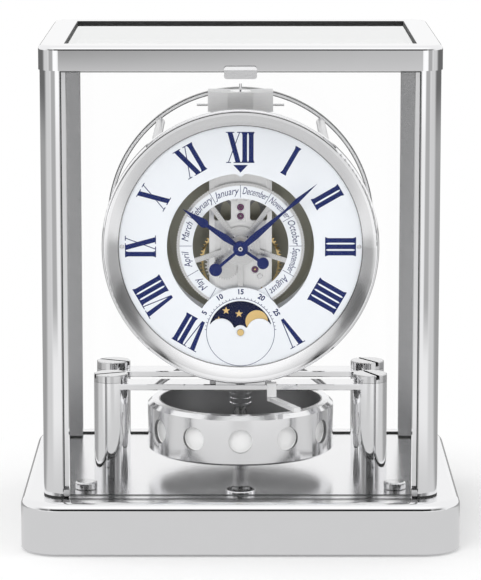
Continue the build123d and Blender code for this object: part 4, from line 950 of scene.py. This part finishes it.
class CLOCK_OT_months(ClockOperator, bpy.types.Operator):
    """Letter the month wheel"""
    bl_idname = "clock.months"
    bl_label = "Month names"

    def make(self, sizes, colours, studio):
        ink = painted("Month ink", colours.navy, 0.4, grain=0.1, shine=0.12)
        room = sizes.month_radius * sizes.month_room
        entries = []
        for place, name in enumerate(MONTHS):
            word = lettering(name, sizes.month_height, 0.3)
            width = max(v.co.x for v in word.vertices) - min(v.co.x for v in word.vertices)
            squeeze = min(sizes.month_squeeze, room / width)
            entries.append((word, sizes.month_radius, math.radians(-15 - 30 * place), squeeze))
        face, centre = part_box("month_ring")[0].y, PIVOTS["month_turn"]
        mesh = bent_words(entries, face, sizes.print_depth, centre)
        keep_place(mesh, "month_names", ink, "month")
        line = prisms([bar(sizes.month_line, sizes.month_line_long)], 0.0, sizes.print_depth)
        place = Vector((centre.x, face, centre.z))
        start = sizes.month_rim + sizes.month_line_gap
        mesh = ring_of("month_lines", line, len(MONTHS), start, 0.0, place, ink)
        keep_place(mesh, "month_lines", ink, "month")


class CLOCK_OT_moon(ClockOperator, bpy.types.Operator):
    """Paint the moons and stars and print the moon's age round the window"""
    bl_idname = "clock.moon"
    bl_label = "Moon phase"

    def make(self, sizes, colours, studio):
        centre = PIVOTS["moon_turn"]
        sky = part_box("dial_plate")[1].y + sizes.moon_gap
        gold = painted("Gold leaf", colours.gold, 0.35, metallic=0.4, grain=0.08)
        shapes = []
        for side in (0, 1):
            turn = sizes.moon_turn + side * math.pi
            shapes.append(circle(sizes.moon_radius, self.around(centre, sizes.moon_orbit, turn)))
            for reach, away in STARS:
                middle = self.around(centre, reach * MM, turn + math.radians(away))
                shapes.append(self.star(sizes.star_radius, middle))
        mesh = prisms(shapes, sky, sizes.print_depth)
        keep_place(mesh, "moons_and_stars", gold, "moon")
        tip = [circle(sizes.moon_cap, (centre.x, centre.z), 40)]
        cap = prisms(tip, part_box("moon_disc")[0].y, sizes.moon_cap_height)
        keep_place(cap, "moon_arbor_cap", gold, "moon")
        self.age_ring(sizes, colours, centre)

    def around(self, centre, reach, turn):
        """Point at a distance and a turn from a centre, as x and z."""
        return centre.x + reach * math.cos(turn), centre.z + reach * math.sin(turn)

    def star(self, radius, middle):
        """Outline of a star with five points, one of them upright."""
        points = []
        for i in range(10):
            reach = radius if i % 2 == 0 else radius * 0.42
            turn = math.pi / 2 + i * math.pi / 5
            points.append((middle[0] + reach * math.cos(turn), middle[1] + reach * math.sin(turn)))
        return points

    def age_ring(self, sizes, colours, centre):
        """Numbers and ticks of the moon's age above the window."""
        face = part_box("dial_plate")[0].y
        ink = painted("Age ink", colours.navy, 0.4, grain=0.1, shine=0.12)
        entries = []
        for day in NUMBERED_DAYS:
            word = lettering(str(day), sizes.age_height, bold=sizes.age_bold)
            entries.append((word, sizes.age_foot, (day - TOP_DAY) * sizes.age_step, sizes.age_squeeze))
        mesh = bent_words(entries, face, sizes.print_depth, centre)
        keep_place(mesh, "moon_age_numbers", ink, "case")
        half = sizes.age_line / 2
        line = hoop(sizes.age_radius - half, sizes.age_radius + half, face, sizes.print_depth, centre)
        keep_place(line, "moon_age_line", ink, "case")
        tick = prisms([bar(sizes.age_line, sizes.age_tick)], 0.0, sizes.print_depth)
        place = Vector((centre.x, face, centre.z))
        first = (1 - TOP_DAY) * sizes.age_step
        ticks = ring_of("moon_age_ticks", tick, MOON_DAYS, sizes.age_radius, first, place, ink,
                        MOON_DAYS * sizes.age_step)
        keep_place(ticks, "moon_age_ticks", ink, "case")


class CLOCK_OT_screws(ClockOperator, bpy.types.Operator):
    """Put in the small screws of the dial, the month wheel's hub and the bridge"""
    bl_idname = "clock.screws"
    bl_label = "Small screws"

    def make(self, sizes, colours, studio):
        steel = polished_plating("Screw steel", colours.case_metal, 0.08)
        centre = PIVOTS["minute_turn"]
        dial = Vector((centre.x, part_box("dial_plate")[0].y, centre.z))
        head = screw_mesh(sizes.screw_radius, 0.25 * MM, math.radians(35))
        mesh = ring_of("dial_screws", head, 2, sizes.screw_orbit, math.radians(90), dial, steel)
        keep_place(mesh, "dial_screws", steel, "case")
        hub = Vector((centre.x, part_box("month_ring")[0].y, centre.z))
        head = screw_mesh(sizes.hub_screw, 0.2 * MM, math.radians(60))
        mesh = ring_of("month_hub_screws", head, 5, sizes.hub_orbit, math.radians(36), hub, steel)
        keep_place(mesh, "month_hub_screws", steel, "month")
        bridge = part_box("front_ring")[1].y
        for name, joint, rise in JEWEL_RINGS:
            middle = PIVOTS[joint] + Vector((0, 0, rise * MM))
            ring = hoop(sizes.jewel_in, sizes.jewel_out, bridge, 0.15 * MM, middle, 40)
            keep_place(ring, f"chaton_{name}", steel, "case")
        for number, (across, rise, slot) in enumerate(BRIDGE_SCREWS):
            mesh = screw_mesh(sizes.bridge_screw, 0.3 * MM, math.radians(slot))
            mesh.transform(Matrix.Translation((centre.x + across * MM, bridge, centre.z + rise * MM)))
            keep_place(mesh, f"bridge_screw_{number}", steel, "case")
        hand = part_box("minute_hand")[0].y
        cap = hoop(sizes.cap_bore, sizes.cap_radius, hand, sizes.cap_height, centre, 40)
        keep_place(cap, "hand_cap", steel, "minute")
        disc = [circle(sizes.cap_bore, (centre.x, centre.z), 24)]
        dot = prisms(disc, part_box("centre_wheel")[0].y, 0.03 * MM)
        ink = painted("Arbor centre", colours.rubber, 0.4)
        keep_place(dot, "hand_cap_dot", ink, "minute")


class CLOCK_OT_stage(ClockOperator, bpy.types.Operator):
    """Set the table, the light and the camera"""
    bl_idname = "clock.stage"
    bl_label = "Studio"

    def make(self, sizes, colours, studio):
        scene = bpy.context.scene
        self.table(studio)
        self.sky(scene, studio)
        self.lamps(studio)
        self.camera(scene, studio)
        scene.view_settings.view_transform = "Standard"

    def table(self, studio):
        """Pale table top that turns to plain white away from the clock and keeps its shadow."""
        work = bmesh.new()
        bmesh.ops.create_circle(work, cap_ends=True, segments=96, radius=studio.floor_radius)
        mesh = mesh_of(work, "table_top")
        top = new_object("table_top", mesh)
        material, tree = new_material("Pale table")
        away = tree.value("ShaderNodeVectorMath", {"operation": "LENGTH"}, {0: tree.place()}, "Value")
        seen, mirrored = tree.rays()
        ways = tree.axes()
        side = ways["X"].math("ABSOLUTE") / away
        # What the metal mirrors: bright cards left and right in front, dimmer flanks beside them, a dim strip
        # far ahead for the edge of the roof, and a dim table behind the clock
        ahead = (-ways["Y"] / away).ramp(-0.2, 0.15)
        cards = side.ramp(0.08, 0.3) * side.ramp(0.80, 0.92, 1.0, 0.0)
        cards = cards * away.ramp(0.2, 0.4) * away.ramp(1.4, 2.0, 0.25, 0.45)
        slant = (ways["X"] / away).ramp(-0.12, 0.12, 0.52, 0.2)
        far = away.ramp(2.0, 2.45) * slant * side.ramp(0.12, 0.3, 1.0, 0.0)
        rear = away.ramp(1.4, 2.0, 0.38, 0.16)
        flanks = side.ramp(0.5, 0.62) * side.ramp(0.8, 0.9, 1.0, 0.0) * away.ramp(0.5, 0.75)
        front = (cards * (1 - flanks) + 0.70 - flanks * 0.24) * (1 - far)
        mirror_level = ahead * (front - rear) + rear
        paint = tree.value("ShaderNodeBsdfDiffuse", {}, {"Color": (0.88, 0.88, 0.88, 1.0)})
        white = tree.value("ShaderNodeEmission", {}, {"Color": (1, 1, 1, 1), "Strength": 1.0})
        grey = tree.value("ShaderNodeEmission", {}, {"Color": (1, 1, 1, 1), "Strength": mirror_level})
        shown = tree.value("ShaderNodeMixShader", {}, {0: seen * away.ramp(0.09, 0.2), 1: paint, 2: white})
        whole = tree.value("ShaderNodeMixShader", {}, {0: mirrored, 1: shown, 2: grey})
        tree.surface(whole)
        mesh.materials.append(material)

    def sky(self, scene, studio):
        """White all round, with a dimmer room and dark bands behind the camera for the metal to mirror."""
        world = bpy.data.worlds.new("Studio")
        scene.world = world
        world.use_nodes = True
        tree = Tree(world.node_tree)
        side, depth, rise = tree.axes(tree.value("ShaderNodeTexCoord", output="Generated")).values()
        behind = (-depth).ramp(0.1, 0.75)
        low = rise.ramp(0.15, 0.6, 1.0, 0.0)
        room = 1 - behind * low * 0.62
        width = side.math("ABSOLUTE")
        middle = rise.ramp(-0.02, 0.03) * rise.ramp(0.37, 0.43, 1.0, 0.0) * width.ramp(0.35, 0.5, 1.0, 0.0)
        sides = rise.ramp(0.03, 0.10) * rise.ramp(0.28, 0.38, 1.0, 0.0)
        sides = sides * width.ramp(0.45, 0.6) * width.ramp(0.8, 0.9, 1.0, 0.0)
        dark = (middle * 0.95 + sides * 0.55) * behind
        mirrored = room * (1 - dark) * (rise.ramp(0.5, 0.65) * behind * 0.2 + 1)
        seen, glossy = tree.rays()
        plain = (1 - glossy) * (1 - seen) * studio.sky
        strength = glossy * mirrored + seen * (1 - glossy) + plain
        light = tree.value("ShaderNodeBackground", {}, {"Color": (1, 1, 1, 1), "Strength": strength})
        tree.tree.links.new(light.socket, tree.node("ShaderNodeOutputWorld").inputs["Surface"])

    def lamps(self, studio):
        """Three soft lamps that look at the clock's middle and don't show in its metal."""
        middle = Vector((0, 0, 0.11))
        for name, place, size, power in (
            ("key", Vector((-0.55, -1.15, 1.15)), 0.9, studio.key_power),
            ("fill_right", Vector((1.25, -0.35, 0.75)), 0.7, studio.fill_power),
            ("fill_left", Vector((-1.25, 0.15, 0.65)), 0.7, studio.fill_power),
        ):
            lamp = bpy.data.lights.new(name, "AREA")
            lamp.energy = power
            lamp.size = size
            holder = new_object(name, lamp)
            holder.location = place
            holder.visible_glossy = False
            holder.rotation_euler = (middle - place).to_track_quat("-Z", "Y").to_euler()

    def camera(self, scene, studio):
        """Long lens in front of the clock, looking a little down."""
        lens = bpy.data.cameras.new("camera")
        lens.lens = studio.lens
        lens.sensor_width = 36.0
        lens.clip_start = 0.05
        lens.clip_end = 60.0
        eye = new_object("camera", lens)
        eye.location = (0.0, -studio.eye_distance, studio.eye_height)
        aim = Vector((0.0, 0.0, studio.aim_height)) - eye.location
        eye.rotation_euler = aim.to_track_quat("-Z", "Y").to_euler()
        scene.camera = eye


OPERATORS = (
    CLOCK_OT_case, CLOCK_OT_panes, CLOCK_OT_movement, CLOCK_OT_dial, CLOCK_OT_numerals, CLOCK_OT_months,
    CLOCK_OT_moon, CLOCK_OT_screws, CLOCK_OT_stage,
)


class CLOCK_PT_panel(bpy.types.Panel):
    """Lists the clock's operators and settings"""
    bl_label = "Desk clock"
    bl_idname = "CLOCK_PT_panel"
    bl_space_type = "VIEW_3D"
    bl_region_type = "UI"
    bl_category = "Clock"

    def draw(self, context):
        for operator in OPERATORS:
            self.layout.operator(operator.bl_idname)
        for group in (context.scene.clock_sizes, context.scene.clock_colours, context.scene.clock_studio):
            box = self.layout.box()
            for name in group.__annotations__:
                box.prop(group, name)


CLASSES = (ClockSizes, ClockColours, ClockStudio, *OPERATORS, CLOCK_PT_panel)


def register():
    for item in CLASSES:
        bpy.utils.register_class(item)
    bpy.types.Scene.clock_sizes = PointerProperty(type=ClockSizes)
    bpy.types.Scene.clock_colours = PointerProperty(type=ClockColours)
    bpy.types.Scene.clock_studio = PointerProperty(type=ClockStudio)


def unregister():
    del bpy.types.Scene.clock_studio
    del bpy.types.Scene.clock_colours
    del bpy.types.Scene.clock_sizes
    for item in reversed(CLASSES):
        bpy.utils.unregister_class(item)


def main():
    register()
    for operator in OPERATORS:
        family, name = operator.bl_idname.split(".")
        getattr(getattr(bpy.ops, family), name)()


if __name__ == "__main__":
    main()
